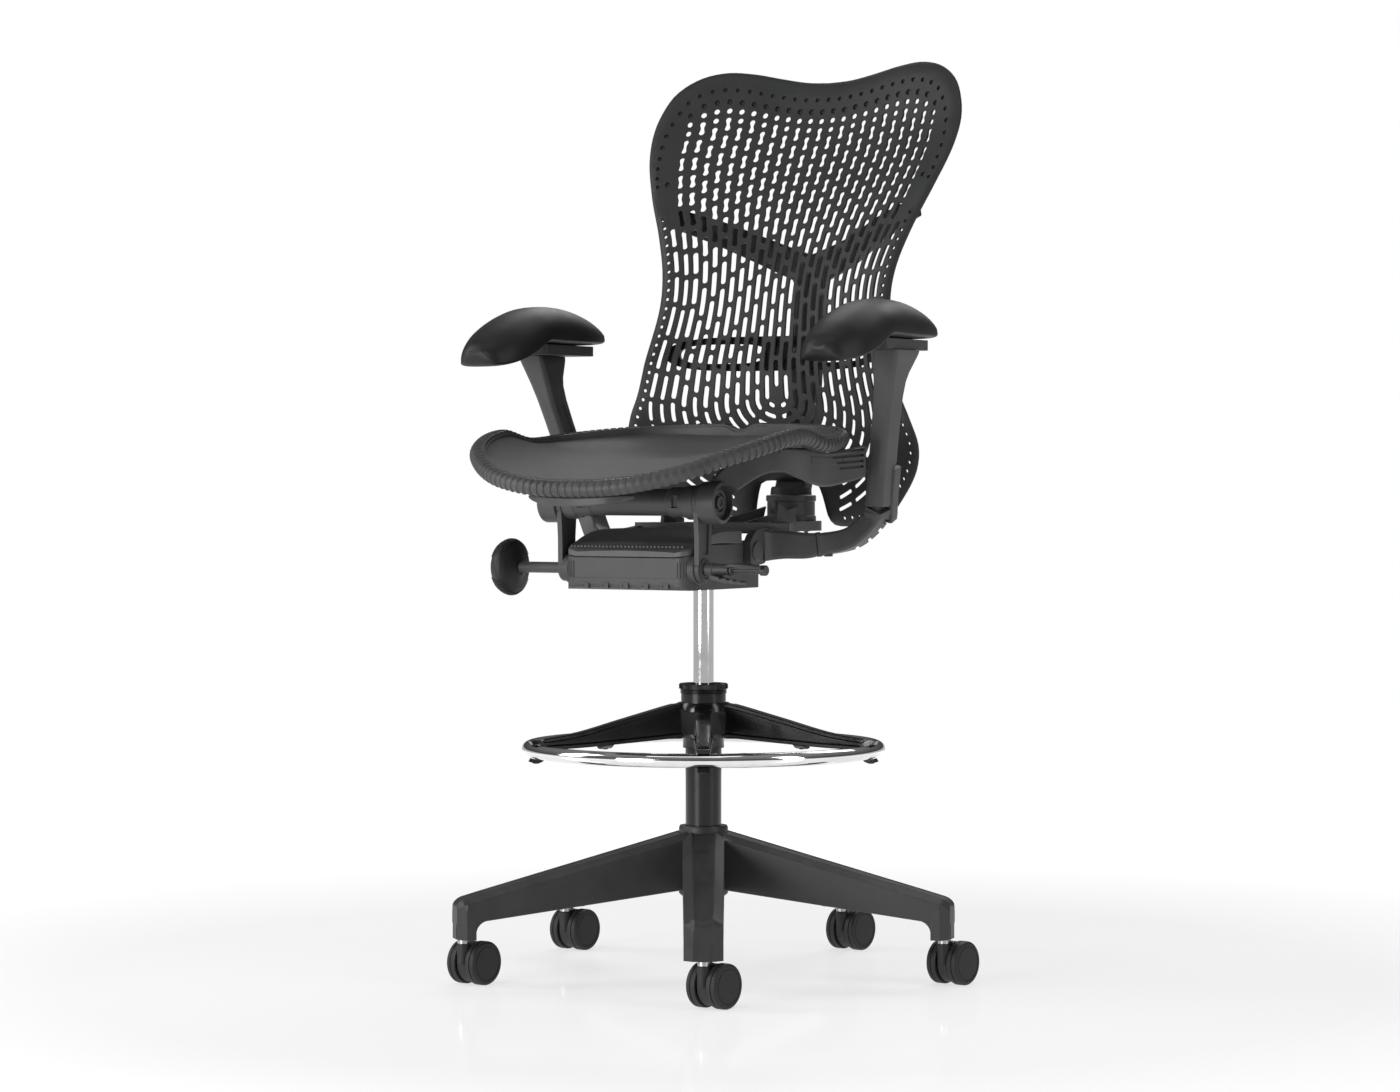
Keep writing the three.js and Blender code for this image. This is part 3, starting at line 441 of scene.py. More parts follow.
def frame_at(point, x_axis, z_axis, scale=(1, 1, 1)):
    """A placing matrix at a point, with its X and Z axes near the given ones."""
    x = Vector(x_axis).normalized()
    y = Vector(z_axis).cross(x).normalized()
    z = x.cross(y)
    basis = Matrix((x, y, z)).transposed().to_4x4()
    return Matrix.Translation(point) @ basis @ Matrix.Diagonal((*scale, 1))


# ---- What a user would change ----
def length(name, description, default):
    """A size in metres, given here in millimetres."""
    return FloatProperty(name=name, description=description, default=default * MM, min=0.0,
                         unit="LENGTH", precision=4)


def colour(name, description, default):
    """A linear colour."""
    return FloatVectorProperty(name=name, description=description, default=(*default, 1.0), size=4,
                               subtype="COLOR", min=0.0, max=1.0)


class ChairFinishes(bpy.types.PropertyGroup):
    """Colours of the chair's finishes."""

    graphite: colour("Graphite", "Moulded arms, rails, links and housing", (0.047, 0.0475, 0.049))
    base_plastic: colour("Base", "Five-leg base", (0.027, 0.0275, 0.0285))
    back_plastic: colour("Back", "Perforated shell, spine and lumbar band", (0.018, 0.0185, 0.0193))
    cover_plastic: colour("Cover", "Ribbed cover of the tilt housing", (0.075, 0.0755, 0.077))
    caster_plastic: colour("Casters", "Wheels and hoods", (0.016, 0.016, 0.017))
    gloss_black: colour("Gloss black", "Column, foot ring hub and collar", (0.0035, 0.0035, 0.0035))
    chrome: colour("Chrome", "Foot ring and gas rod", (0.80, 0.80, 0.81))
    steel: colour("Steel", "Stems, axles and shaft", (0.42, 0.42, 0.43))
    soft_grip: colour("Knob", "Tension knob", (0.012, 0.012, 0.013))
    pad_skin: colour("Arm pads", "Soft skin of the arm pads", (0.006, 0.006, 0.0065))
    seat_weave: colour("Seat weave", "Yarn of the stretched seat", (0.038, 0.038, 0.040))


class ChairBackSizes(bpy.types.PropertyGroup):
    """Sizes of the perforated back shell."""

    thickness: length("Thickness", "Wall of the shell", 4.0)
    slot_width: length("Slot width", "Width of a slot at its lobes", 8.3)
    column_count: IntProperty(name="Columns", description="Columns of slots on each side of the middle",
                              default=12, min=4, max=20)
    upper_slot: length("Upper slot", "Length of the waisted slots near the top", 20.5)
    middle_slot: length("Middle slot", "Length of the straight slots at the waist", 42.0)
    bridge: length("Bridge", "Material left between two slots of a column", 6.2)
    border_hole: length("Border hole", "Diameter of the border holes", 6.2)
    border_pitch: length("Border pitch", "Spacing of the border holes", 18.0)


class ChairSeatSizes(bpy.types.PropertyGroup):
    """Sizes of the seat rim and weave."""

    rib_pitch: length("Rib pitch", "Spacing of the ribs round the rim", 10.5)
    rib_width: length("Rib width", "Width of one rib", 7.4)
    rib_height: length("Rib height", "How far a rib stands proud of the rim", 1.1)
    weave_pitch: length("Weave pitch", "Distance between two yarns of the seat", 2.3)


class ChairBaseSizes(bpy.types.PropertyGroup):
    """Sizes of details on the base, casters and knob."""

    tread_groove: length("Tread groove", "Width of the groove in a wheel's tread", 1.6)
    grip_pitch: length("Grip pitch", "Spacing of the ribs on the knob", 3.2)
    ribs_on_cover: IntProperty(name="Cover ribs", description="Ribs across the housing cover",
                               default=72, min=10, max=120)


SIZE_GROUPS = (("chair_finishes", ChairFinishes), ("chair_back", ChairBackSizes),
               ("chair_seat", ChairSeatSizes), ("chair_base", ChairBaseSizes))


def sizes(group):
    """The values of a property group, with lengths turned back into millimetres."""
    held = getattr(bpy.context.scene, group)
    found = {}
    for key, prop in held.bl_rna.properties.items():
        if key not in ("rna_type", "name"):
            value = getattr(held, key)
            found[key] = value / MM if getattr(prop, "unit", "") == "LENGTH" else value
    return found


# ---- Finishes ----
def shading_group(name, inputs, outputs):
    """A new shader node group with named sockets; gives its tree, input node and output node."""
    tree = bpy.data.node_groups.new(name, "ShaderNodeTree")
    for label, kind, default in inputs:
        tree_socket(tree, label, kind, "INPUT", default)
    for label, kind in outputs:
        tree_socket(tree, label, kind, "OUTPUT")
    return tree, tree.nodes.new("NodeGroupInput"), tree.nodes.new("NodeGroupOutput")


def math_node(tree, operation, a, b=None, c=None):
    """A math node whose inputs are sockets or numbers."""
    made = tree.nodes.new("ShaderNodeMath")
    made.operation = operation
    for i, value in enumerate((a, b, c)):
        if isinstance(value, (int, float)):
            made.inputs[i].default_value = value
        elif value is not None:
            tree.links.new(value, made.inputs[i])
    return made.outputs[0]


def blended(tree, factor, a, b):
    """A colour mix of a and b by factor."""
    made = tree.nodes.new("ShaderNodeMix")
    made.data_type = "RGBA"
    for socket, value in ((made.inputs["Factor"], factor), (made.inputs[6], a), (made.inputs[7], b)):
        if isinstance(value, (int, float, tuple)):
            socket.default_value = value
        else:
            tree.links.new(value, socket)
    return made.outputs[2]


def ranged(tree, value, low, high, new_low=0.0, new_high=1.0):
    """value mapped from one range to another and held inside it."""
    made = tree.nodes.new("ShaderNodeMapRange")
    tree.links.new(value, made.inputs["Value"])
    for label, number in (("From Min", low), ("From Max", high), ("To Min", new_low), ("To Max", new_high)):
        if isinstance(number, (int, float)):
            made.inputs[label].default_value = number
        else:
            tree.links.new(number, made.inputs[label])
    return made.outputs["Result"]


def noise(tree, vector, scale, detail=3.0, roughness=0.5):
    """Fractal noise on a vector."""
    made = tree.nodes.new("ShaderNodeTexNoise")
    made.inputs["Detail"].default_value, made.inputs["Roughness"].default_value = detail, roughness
    tree.links.new(vector, made.inputs["Vector"])
    if isinstance(scale, (int, float)):
        made.inputs["Scale"].default_value = scale
    else:
        tree.links.new(scale, made.inputs["Scale"])
    return made.outputs["Fac"]


def moulded_grain():
    """Fine spark-eroded grain: a height, and a mask of its small raised peaks, where the plastic finishes
    paint glints.
    """
    name = "Moulded grain"
    if name in bpy.data.node_groups:
        return bpy.data.node_groups[name]
    tree, entry, leave = shading_group(name, [("Vector", "NodeSocketVector", None),
                                              ("Grain Size", "NodeSocketFloat", 0.0006)],
                                       [("Height", "NodeSocketFloat"), ("Peaks", "NodeSocketFloat")])
    density = math_node(tree, "DIVIDE", 1.0, entry.outputs["Grain Size"])
    fine = noise(tree, entry.outputs["Vector"], density, 2.0, 0.55)
    cells = tree.nodes.new("ShaderNodeTexVoronoi")
    tree.links.new(entry.outputs["Vector"], cells.inputs["Vector"])
    tree.links.new(density, cells.inputs["Scale"])
    height = math_node(tree, "MULTIPLY_ADD", cells.outputs["Distance"], -0.5, fine)
    tree.links.new(height, leave.inputs["Height"])
    tree.links.new(ranged(tree, fine, 0.60, 0.72), leave.inputs["Peaks"])
    return tree


def handling_marks():
    """Slow changes of tone and gloss from moulding and handling."""
    name = "Handling marks"
    if name in bpy.data.node_groups:
        return bpy.data.node_groups[name]
    tree, entry, leave = shading_group(name, [("Vector", "NodeSocketVector", None),
                                              ("Patch Size", "NodeSocketFloat", 0.05)],
                                       [("Tone", "NodeSocketFloat"), ("Scuffs", "NodeSocketFloat")])
    density = math_node(tree, "DIVIDE", 1.0, entry.outputs["Patch Size"])
    slow = noise(tree, entry.outputs["Vector"], density, 4.0, 0.6)
    stretch = tree.nodes.new("ShaderNodeMapping")
    stretch.inputs["Scale"].default_value = (1.0, 0.35, 2.6)
    tree.links.new(entry.outputs["Vector"], stretch.inputs["Vector"])
    lines = noise(tree, stretch.outputs["Vector"], math_node(tree, "MULTIPLY", density, 9.0), 6.0, 0.7)
    tree.links.new(ranged(tree, slow, 0.3, 0.7), leave.inputs["Tone"])
    tree.links.new(ranged(tree, lines, 0.62, 0.74), leave.inputs["Scuffs"])
    return tree


def settled_dust():
    """A thin veil of dust where the surface looks up."""
    name = "Settled dust"
    if name in bpy.data.node_groups:
        return bpy.data.node_groups[name]
    tree, entry, leave = shading_group(name, [("Vector", "NodeSocketVector", None),
                                              ("Amount", "NodeSocketFloat", 0.1)],
                                       [("Veil", "NodeSocketFloat")])
    geometry, split = tree.nodes.new("ShaderNodeNewGeometry"), tree.nodes.new("ShaderNodeSeparateXYZ")
    tree.links.new(geometry.outputs["Normal"], split.inputs[0])
    upward = ranged(tree, split.outputs["Z"], 0.35, 0.95)
    patches = ranged(tree, noise(tree, entry.outputs["Vector"], 40.0, 5.0, 0.65), 0.35, 0.75)
    veil = math_node(tree, "MULTIPLY", math_node(tree, "MULTIPLY", upward, patches),
                     entry.outputs["Amount"])
    tree.links.new(veil, leave.inputs["Veil"])
    return tree


def diagonal_weave():
    """Two sets of yarns crossing on the diagonal: height, a mask of the shaded gaps, and a mask of the upper
    yarns' crests for a painted highlight.
    """
    name = "Diagonal weave"
    if name in bpy.data.node_groups:
        return bpy.data.node_groups[name]
    tree, entry, leave = shading_group(name, [("Vector", "NodeSocketVector", None),
                                              ("Pitch", "NodeSocketFloat", 0.0023)],
                                       [("Height", "NodeSocketFloat"), ("Gaps", "NodeSocketFloat"),
                                        ("Yarn Tone", "NodeSocketFloat")])
    split = tree.nodes.new("ShaderNodeSeparateXYZ")
    tree.links.new(entry.outputs["Vector"], split.inputs[0])
    waves = []
    for sign, stretch in ((1, 1.0), (-1, 1.6)):
        along = math_node(tree, "MULTIPLY_ADD", split.outputs["Y"], sign * 1.0, split.outputs["X"])
        turns = math_node(tree, "DIVIDE", along, entry.outputs["Pitch"])
        wave = math_node(tree, "SINE", math_node(tree, "MULTIPLY", turns, 2 * math.pi * stretch))
        waves.append(ranged(tree, wave, -1.0, 1.0))
    height = math_node(tree, "MAXIMUM", waves[0], math_node(tree, "MULTIPLY", waves[1], 0.72))
    gaps = ranged(tree, height, 0.5, 0.12)
    tree.links.new(height, leave.inputs["Height"])
    tree.links.new(gaps, leave.inputs["Gaps"])
    tree.links.new(ranged(tree, waves[0], 0.55, 1.0), leave.inputs["Yarn Tone"])
    return tree


PLASTIC_SPECULAR = 0.32
# slot: (roughness, grain size mm, grain depth mm, tone change, scuff change, dust, coat, sheen)
SURFACES = {
    "graphite": (0.42, 0.55, 0.030, 0.16, 0.35, 0.04, 0.0, 0.0),
    "base_plastic": (0.40, 0.60, 0.025, 0.14, 0.30, 0.04, 0.0, 0.0),
    "back_plastic": (0.48, 0.50, 0.028, 0.14, 0.20, 0.02, 0.0, 0.0),
    "cover_plastic": (0.42, 0.50, 0.020, 0.12, 0.20, 0.02, 0.0, 0.0),
    "caster_plastic": (0.50, 0.90, 0.050, 0.22, 0.45, 0.03, 0.0, 0.0),
    "gloss_black": (0.20, 0.90, 0.004, 0.05, 0.30, 0.01, 0.15, 0.0),
    "soft_grip": (0.50, 0.60, 0.025, 0.14, 0.25, 0.02, 0.0, 0.05),
    "pad_skin": (0.46, 0.85, 0.028, 0.14, 0.25, 0.01, 0.0, 0.0),
}


def placed_group(tree, group, **values):
    """A group node in a material, with its numbers set by socket name."""
    made = tree.nodes.new("ShaderNodeGroup")
    made.node_tree = group
    for label, value in values.items():
        made.inputs[label.replace("_", " ")].default_value = value
    tree.links.new(tree.nodes["Coordinates"].outputs["Object"], made.inputs["Vector"])
    return made


def blank_material(name):
    """A material with one Principled shader and an Object coordinate node."""
    made = bpy.data.materials.new(name)
    made.use_nodes = True
    coordinates = made.node_tree.nodes.new("ShaderNodeTexCoord")
    coordinates.name = "Coordinates"
    return made, made.node_tree, made.node_tree.nodes["Principled BSDF"]


def bumped(tree, shader, height, depth):
    """Feeds a height through a Bump node to the shader's normal; depth in millimetres."""
    bump = tree.nodes.new("ShaderNodeBump")
    bump.inputs["Distance"].default_value = depth * MM
    bump.inputs["Strength"].default_value = 1.0
    tree.links.new(height, bump.inputs["Height"])
    tree.links.new(bump.outputs["Normal"], shader.inputs["Normal"])


def moulded_finish(slot, tint):
    """A moulded plastic or rubber: grain with painted glints on its peaks, slow tone, scuffs and a little
    dust.
    """
    rough, grain_size, depth, tone_change, scuff_change, dust, coat, sheen = SURFACES[slot]
    made, tree, shader = blank_material(slot)
    grain = placed_group(tree, moulded_grain(), Grain_Size=grain_size * MM)
    marks = placed_group(tree, handling_marks(), Patch_Size=0.05)
    veil = placed_group(tree, settled_dust(), Amount=dust)
    darker = tuple(c * (1 - tone_change) for c in tint[:3]) + (1,)
    lighter = tuple(c * (1 + tone_change) for c in tint[:3]) + (1,)
    toned = blended(tree, marks.outputs["Tone"], darker, lighter)
    # painted glints: the grain's raised peaks are lightened towards a paler tint
    peaks = blended(tree, math_node(tree, "MULTIPLY", grain.outputs["Peaks"], 0.35), toned,
                    tuple(min(c * 1.9, 1) for c in tint[:3]) + (1,))
    dusty = blended(tree, veil.outputs["Veil"], peaks, (0.32, 0.31, 0.30, 1))
    tree.links.new(dusty, shader.inputs["Base Color"])
    worn = math_node(tree, "MULTIPLY_ADD", marks.outputs["Scuffs"], -scuff_change * 0.3, rough)
    spread = math_node(tree, "MULTIPLY_ADD", marks.outputs["Tone"], 0.08, worn)
    tree.links.new(math_node(tree, "ADD", spread, veil.outputs["Veil"]), shader.inputs["Roughness"])
    bumped(tree, shader, grain.outputs["Height"], depth)
    shader.inputs["Specular IOR Level"].default_value = PLASTIC_SPECULAR
    shader.inputs["Coat Weight"].default_value = coat
    shader.inputs["Coat Roughness"].default_value = 0.06
    shader.inputs["Sheen Weight"].default_value = sheen
    shader.inputs["Sheen Roughness"].default_value = 0.4
    return made


def metal_finish(slot, tint):
    """Chrome or turned steel: fine smears in the gloss, faint turning lines on steel."""
    made, tree, shader = blank_material(slot)
    shader.inputs["Metallic"].default_value = 1.0
    low, high, depth = (0.035, 0.10, 0.0006) if slot == "chrome" else (0.24, 0.40, 0.004)
    marks = placed_group(tree, handling_marks(), Patch_Size=0.03)
    grain = placed_group(tree, moulded_grain(), Grain_Size=0.0004)
    duller = tuple(c * 0.90 for c in tint[:3]) + (1,)
    tree.links.new(blended(tree, marks.outputs["Tone"], duller, tuple(tint)), shader.inputs["Base Color"])
    spread = ranged(tree, marks.outputs["Tone"], 0.0, 1.0, low, high)
    tree.links.new(math_node(tree, "MULTIPLY_ADD", marks.outputs["Scuffs"], 0.05, spread),
                   shader.inputs["Roughness"])
    bumped(tree, shader, grain.outputs["Height"], depth)
    return made


def weave_finish(slot, tint):
    """The seat's stretched weave of dark yarns, with a painted highlight on the upper yarns' crests and
    painted shade in the gaps.
    """
    made, tree, shader = blank_material(slot)
    weave = placed_group(tree, diagonal_weave(), Pitch=bpy.context.scene.chair_seat.weave_pitch)
    marks = placed_group(tree, handling_marks(), Patch_Size=0.08)
    # painted highlight: the middle of each upper yarn is lightened towards a paler tint, as if lit along its
    # crest
    pale = tuple(min(c * 2.1, 1) for c in tint[:3]) + (1,)
    yarn = blended(tree, weave.outputs["Yarn Tone"], tuple(tint), pale)
    aged = blended(tree, math_node(tree, "MULTIPLY", marks.outputs["Tone"], 0.3), yarn,
                   tuple(c * 0.7 for c in tint[:3]) + (1,))
    # painted shade: the gaps between the yarns are darkened to near black
    dark = blended(tree, weave.outputs["Gaps"], aged, (0.004, 0.004, 0.004, 1))
    tree.links.new(dark, shader.inputs["Base Color"])
    tree.links.new(ranged(tree, weave.outputs["Height"], 0.0, 1.0, 0.8, 0.5), shader.inputs["Roughness"])
    bumped(tree, shader, weave.outputs["Height"], 0.35)
    shader.inputs["Sheen Weight"].default_value = 0.08
    return made


def finish(slot):
    """The material of a slot, made once."""
    made = bpy.data.materials.get(f"chair_{slot}")
    if made:
        return made
    tint = tuple(getattr(bpy.context.scene.chair_finishes, slot))
    if slot in SURFACES:
        made = moulded_finish(slot, tint)
    elif slot == "seat_weave":
        made = weave_finish(slot, tint)
    else:
        made = metal_finish(slot, tint)
    made.name = f"chair_{slot}"
    return made


# ---- Base ----
LEG_TIP = STEM_CIRCLE + 12
LEG_LIP = 0.9  # the raised edge round a leg's top panel


def leg_shape():
    """One leg: a flat top panel inside a raised lip, chamfered flanks and a drooping end."""
    def ring(x, half, top_half, drop=0.0):
        """The leg's section at X."""
        t = x / LEG_TIP
        top = lerp(HUB_TOP, 117.5, t) - drop
        low = lerp(127, 85, t)
        side = [(half - 1.2, low), (half, low + 1.2), (half, top - 8.6), (half - 0.5, top - 7.4),
                (top_half + 1.6, top - 0.7), (top_half + 0.7, top), (top_half - 1.2, top),
                (top_half - 2.0, top - LEG_LIP)]
        return [(x, y, z) for y, z in side] + [(x, -y, z) for y, z in reversed(side)]

    rings = [ring(0, 29, 16.5), ring(34, 29, 16.2)]
    for k in range(1, 12):
        t = k / 12
        x = lerp(34, LEG_TIP - 14, t)
        rings.append(ring(x, lerp(28.8, 26, t), lerp(16.2, 12.2, t)))
    for x, shrink, drop in ((LEG_TIP - 12, 0.4, 0.2), (LEG_TIP - 7, 4, 1.2), (LEG_TIP - 2.5, 9.5, 3.6),
                            (LEG_TIP - 0.6, 12, 6.0), (LEG_TIP, 12.6, 8.6)):
        rings.append(ring(x, 26 - shrink, 12 - shrink * 0.12, drop))
    return loft(rings)


def leg_post():
    """The end post that holds the caster socket, with a central strip and a fillet under the leg."""
    corner = 11
    outline = [(LEG_TIP - 24, -26), (LEG_TIP - corner, -26), (LEG_TIP - 0.8, -14), (LEG_TIP - 0.8, 14),
               (LEG_TIP - corner, 26), (LEG_TIP - 24, 26)]
    post = plan_plate(outline, POST_BOTTOM, 104)
    strip = plan_plate([(LEG_TIP - 6, -9.5), (LEG_TIP, -9.5), (LEG_TIP, 9.5), (LEG_TIP - 6, 9.5)],
                       POST_BOTTOM + 0.6, 104)
    bend = [(LEG_TIP - 22, 70)]
    for k in range(9):
        angle = math.radians(90 * k / 8)
        bend.append((LEG_TIP - 24 - 18 * (1 - math.cos(angle)), 72 + 18 * math.sin(angle)))
    fillet = loft([[(x, y, z) for x, z in bend + [(LEG_TIP - 22, 92)]] for y in (-25, 25)])
    return post, strip, fillet


def make_star_base():
    """Five joined legs round a hub, with a caster socket in each end post."""
    parts, cuts = [turned([(0, 112), (31, 112), (34, 115), (34, 206), (32.5, HUB_TOP), (0, HUB_TOP)], 72)], []
    for angle in LEG_ANGLES:
        parts += [spun(shape, angle) for shape in (leg_shape(), *leg_post())]
        cuts.append(spun(rod(6, 50, 94, 24, at=(STEM_CIRCLE, 0, 0)), angle))
    cuts.append(rod(COLUMN_RADIUS + 0.4, 100, 220, 72))
    cuts += [spun(oriented_block((1.1, 70, 1.4), Matrix.Translation((33.8, 0, 127.5))), angle)
             for angle in LEG_ANGLES]
    base = eased(built("star_base_shell", parts, cuts), 0.7, 2, 40)
    return settle(base, "base", "base_plastic", "star_base", sharp=30)


# ---- Casters ----
def wheel_shape(groove):
    """One wheel: rounded tread with a centre groove, and a domed face inside a fine ring."""
    inner, outer, radius = 9, 25, WHEEL_RADIUS
    middle = (inner + outer) / 2
    profile = [(0, inner + 7), (5, inner + 7), (6, inner), (22, inner), (22.6, inner + 1.2),
               (26, inner + 1.2), (26.6, inner), (radius - 1.4, inner),
               (radius - 0.4, inner + 0.5), (radius, inner + 1.6)]
    profile += [(radius, middle - groove / 2), (radius - 1.2, middle - groove / 2 + 0.2),
                (radius - 1.2, middle + groove / 2 - 0.2), (radius, middle + groove / 2)]
    for k in range(6):
        angle = math.radians(90 * k / 5)
        profile.append((radius - 4.2 + 4.2 * math.cos(angle), outer - 4.2 + 4.2 * math.sin(angle)))
    profile += [(radius - 6.0, outer - 0.1), (radius - 6.5, outer - 0.8), (radius - 7.3, outer - 0.8),
                (radius - 7.8, outer - 0.1), (16, outer), (8, outer + 0.1), (0, outer + 0.15)]
    return turned(profile, 56, "X", (0, CASTER_TRAIL, WHEEL_RADIUS))


def hood_shapes():
    """The body between the wheels: a disc, a neck, and a shroud that arches over the top."""
    axle = (CASTER_TRAIL, WHEEL_RADIUS)
    disc = turned([(0, -8.5), (25, -8.5), (27, -6.5), (27, 6.5), (25, 8.5), (0, 8.5)], 56, "X",
                  (0, *axle))
    neck = turned([(0, 30), (8.5, 30), (8.5, 54.5), (7.4, 57), (0, 57)], 40)
    arch, rings = (28.2, 31.8), []
    for k in range(15):
        angle = math.radians(lerp(22, 150, k / 14))
        cy, cz = math.cos(angle), math.sin(angle)
        points = []
        for x, r in ((-7.6, arch[0]), (-8.3, arch[0] + 1.4), (-7.2, arch[1]), (7.2, arch[1]),
                     (8.3, arch[0] + 1.4), (7.6, arch[0])):
            points.append((x, axle[0] + (r - 3) * cy, axle[1] + (r - 3) * cz))
        rings.append(points)
    return disc, neck, loft(rings)


def make_casters():
    """Five twin-wheel casters: stem, hood, axle and two wheels each."""
    groove = sizes("chair_base")["tread_groove"]
    for i, angle in enumerate(LEG_ANGLES, 1):
        spot = Matrix.Translation((STEM_CIRCLE * math.cos(angle), STEM_CIRCLE * math.sin(angle), 0))
        place = spot @ Matrix.Rotation(CASTER_TURN, 4, "Z")
        stem = turned([(0, 34), (5.5, 34), (5.5, 57.4), (7.6, 57.4), (8, 57.8), (8, 63.2), (7.6, 63.6),
                       (5.5, 63.6), (5.5, 89), (4.5, 90), (0, 90)], 40)
        hood = built(f"caster_{i}_body", [moved(shape, place) for shape in hood_shapes()],
                     [moved(rod(6, 33, 60, 32), place),
                      moved(rod_x(4.5, -12, 12, (CASTER_TRAIL, WHEEL_RADIUS), 24), place)])
        axle = rod_x(4, -20, 20, (CASTER_TRAIL, WHEEL_RADIUS), 24)
        settle(mesh_object(f"caster_{i}_pin", moved(stem, place)), f"caster_{i}", "steel",
               f"caster_{i}_stem")
        settle(hood, f"caster_{i}", "caster_plastic", f"caster_{i}_hood")
        settle(mesh_object(f"caster_{i}_spindle", moved(axle, place)), f"caster_{i}_wheels", "steel",
               f"caster_{i}_axle")
        for side, sign in SIDES:
            wheel = moved(mirrored(wheel_shape(groove), sign), place)
            settle(mesh_object(f"caster_{i}_{side}_disc", wheel), f"caster_{i}_wheels",
                   "caster_plastic", f"caster_{i}_wheel_{side}", sharp=28)


# ---- Column, lift and foot ring ----
def make_lift():
    """The gloss column with its bush, the chrome rod and the release pin."""
    column = turned([(22, 100), (25, 100), (25, 396.5), (24.4, 398.6), (23, 400), (14.5, 400),
                     (14.5, 340), (22, 340)], 96)
    rod_bore = 4.5
    chrome_rod = turned([(0, 240), (13.4, 240), (14, 240.6), (14, 571), (13, 572), (rod_bore, 572),
                         (rod_bore, 558), (0, 558)], 72)
    settle(mesh_object("outer_column", column), "base", "gloss_black", "column_tube")
    settle(mesh_object("lift_rod", chrome_rod), "lift", "chrome", "gas_rod")
    settle(mesh_object("release_pin", rod(4, 563, 579, 24)), "lift_pin", "steel", "gas_release_pin")


def ring_shape():
    """The bent chrome tube, with the low bead of its closing weld."""
    weld_angle, bead = math.radians(-47), 0.5
    rings = []
    for k in range(160):
        angle = 2 * math.pi * k / 160
        off = (angle - weld_angle + math.pi) % (2 * math.pi) - math.pi
        radius = RING_TUBE + bead * math.exp(-(off / 0.02) ** 2)
        rings.append([Vector(((RING_RADIUS + radius * math.cos(a)) * math.cos(angle),
                              (RING_RADIUS + radius * math.cos(a)) * math.sin(angle),
                              RING_HEIGHT + radius * math.sin(a)))
                      for a in (2 * math.pi * j / 28 for j in range(28))])
    return loft(rings, loop=True)


def spoke_shape():
    """One spoke: flanges above and below a thinner web, falling from the hub to the ring."""
    inside = RING_RADIUS - RING_TUBE - 1.2

    def ring(x, half, low, top):
        """The spoke's section at X."""
        web, flange = half - 3.2, min(4.5, (top - low) * 0.26)
        side = [(half - 1, low), (half, low + 1), (half, low + flange), (web, low + flange + 2.2),
                (web, top - flange - 2.2), (half, top - flange), (half, top - 1), (half - 1, top)]
        return [(x, y, z) for y, z in side] + [(x, -y, z) for y, z in reversed(side)]

    top_line = through((20, 377), (44, 377), (60, 373), (120, 357), (180, 341), (inside, 333))
    low_line = through((20, 331), (44, 331), (60, 329.5), (120, 324.5), (180, 320), (inside, 318))
    stations = [20, 36, 44] + [lerp(44, inside, k / 14) for k in range(1, 15)]
    return loft([ring(x, lerp(13, 8, clamp((x - 44) / (inside - 44))), low_line(x), top_line(x))
                 for x in stations])


def clamp_shape():
    """The hook at a spoke's end that wraps the ring from above and below."""
    hold, wall = RING_TUBE + 1.0, 5.5
    outline = []
    for start, end, radius in ((62, 298, hold + wall), (298, 62, hold)):
        for k in range(13):
            angle = math.radians(lerp(start, end, k / 12))
            outline.append((RING_RADIUS + radius * math.cos(angle), RING_HEIGHT + radius * math.sin(angle)))
    return loft([[(x, y, z) for x, z in outline] for y in (-8, 8)])


def make_foot_ring():
    """The ring, its five-spoke sliding hub, and the ribbed locking collar."""
    settle(mesh_object("ring_tube", ring_shape()), "foot_ring_carrier", "chrome", "foot_ring")
    bore = COLUMN_RADIUS + 0.5
    body = turned([(bore, 316.5), (28.5, 316.5), (28.5, 328), (30, 330), (36.6, 331), (37, 333),
                   (38, 368), (37.4, 374), (35, 379), (31, 379), (31, 391), (bore, 391)], 90)
    parts, cuts = [body], []
    for angle in LEG_ANGLES:
        parts += [spun(spoke_shape(), angle), spun(clamp_shape(), angle)]
        panel = oriented_block((6, 24, 30), Matrix.Translation((38.8, 0, 352)))
        cuts.append(spun(panel, angle + math.radians(36)))
    cuts.append(rod(bore, 300, 400, 90))
    hub = eased(built("ring_hub", parts, cuts), 1.0, 3, 40)
    bolts = [Matrix.Rotation(angle, 4, "Z") @ Matrix.Translation((RING_RADIUS - 1, 0, RING_HEIGHT - 16.4))
             for angle in LEG_ANGLES]
    bolt = turned([(0, 2.4), (4.6, 2.4), (4.6, 0.6), (4.0, 0), (2.3, 0), (2.3, 1.4), (0, 1.4)], 16)
    heads = repeated("ring_hub_bolts", bolt, bolts, "gloss_black")
    settle(gathered("ring_hub", hub, heads), "foot_ring_carrier", "gloss_black", "foot_ring_hub")
    low = 391.4
    profile = [(bore, low), (31.6, low)]
    for k in range(3):
        profile += [(31.6, low + 0.6 + 1.9 * k), (32.5, low + 1.2 + 1.9 * k), (31.6, low + 1.8 + 1.9 * k)]
    profile += [(31.8, low + 6.2), (33.2, low + 6.6), (33.4, low + 13), (32.6, low + 14), (bore, low + 14)]
    nut = mesh_object("collar_body", turned(profile, 96))
    rib = rod(0.55, 0, 6.2, 6, edge=0.2)
    places = [Matrix.Rotation(2 * math.pi * k / 72, 4, "Z") @ Matrix.Translation((33.4, 0, low + 6.8))
              for k in range(72)]
    ribs = repeated("collar_ribs", rib, places, "gloss_black")
    settle(gathered("locking_collar", nut, ribs), "foot_ring_nut", "gloss_black", "foot_ring_collar")


# ---- Tilt housing ----
def housing_plan(half, rear, inset=0.0):
    """Half of the housing's outline from above, front corner first."""
    front = -210 + inset
    corner = []
    for k in range(7):
        angle = math.radians(-90 + 90 * k / 6)
        corner.append((half - inset - 20 + 20 * math.cos(angle), front + 20 + 20 * math.sin(angle)))
    return [(0.0, front)] + corner + rear


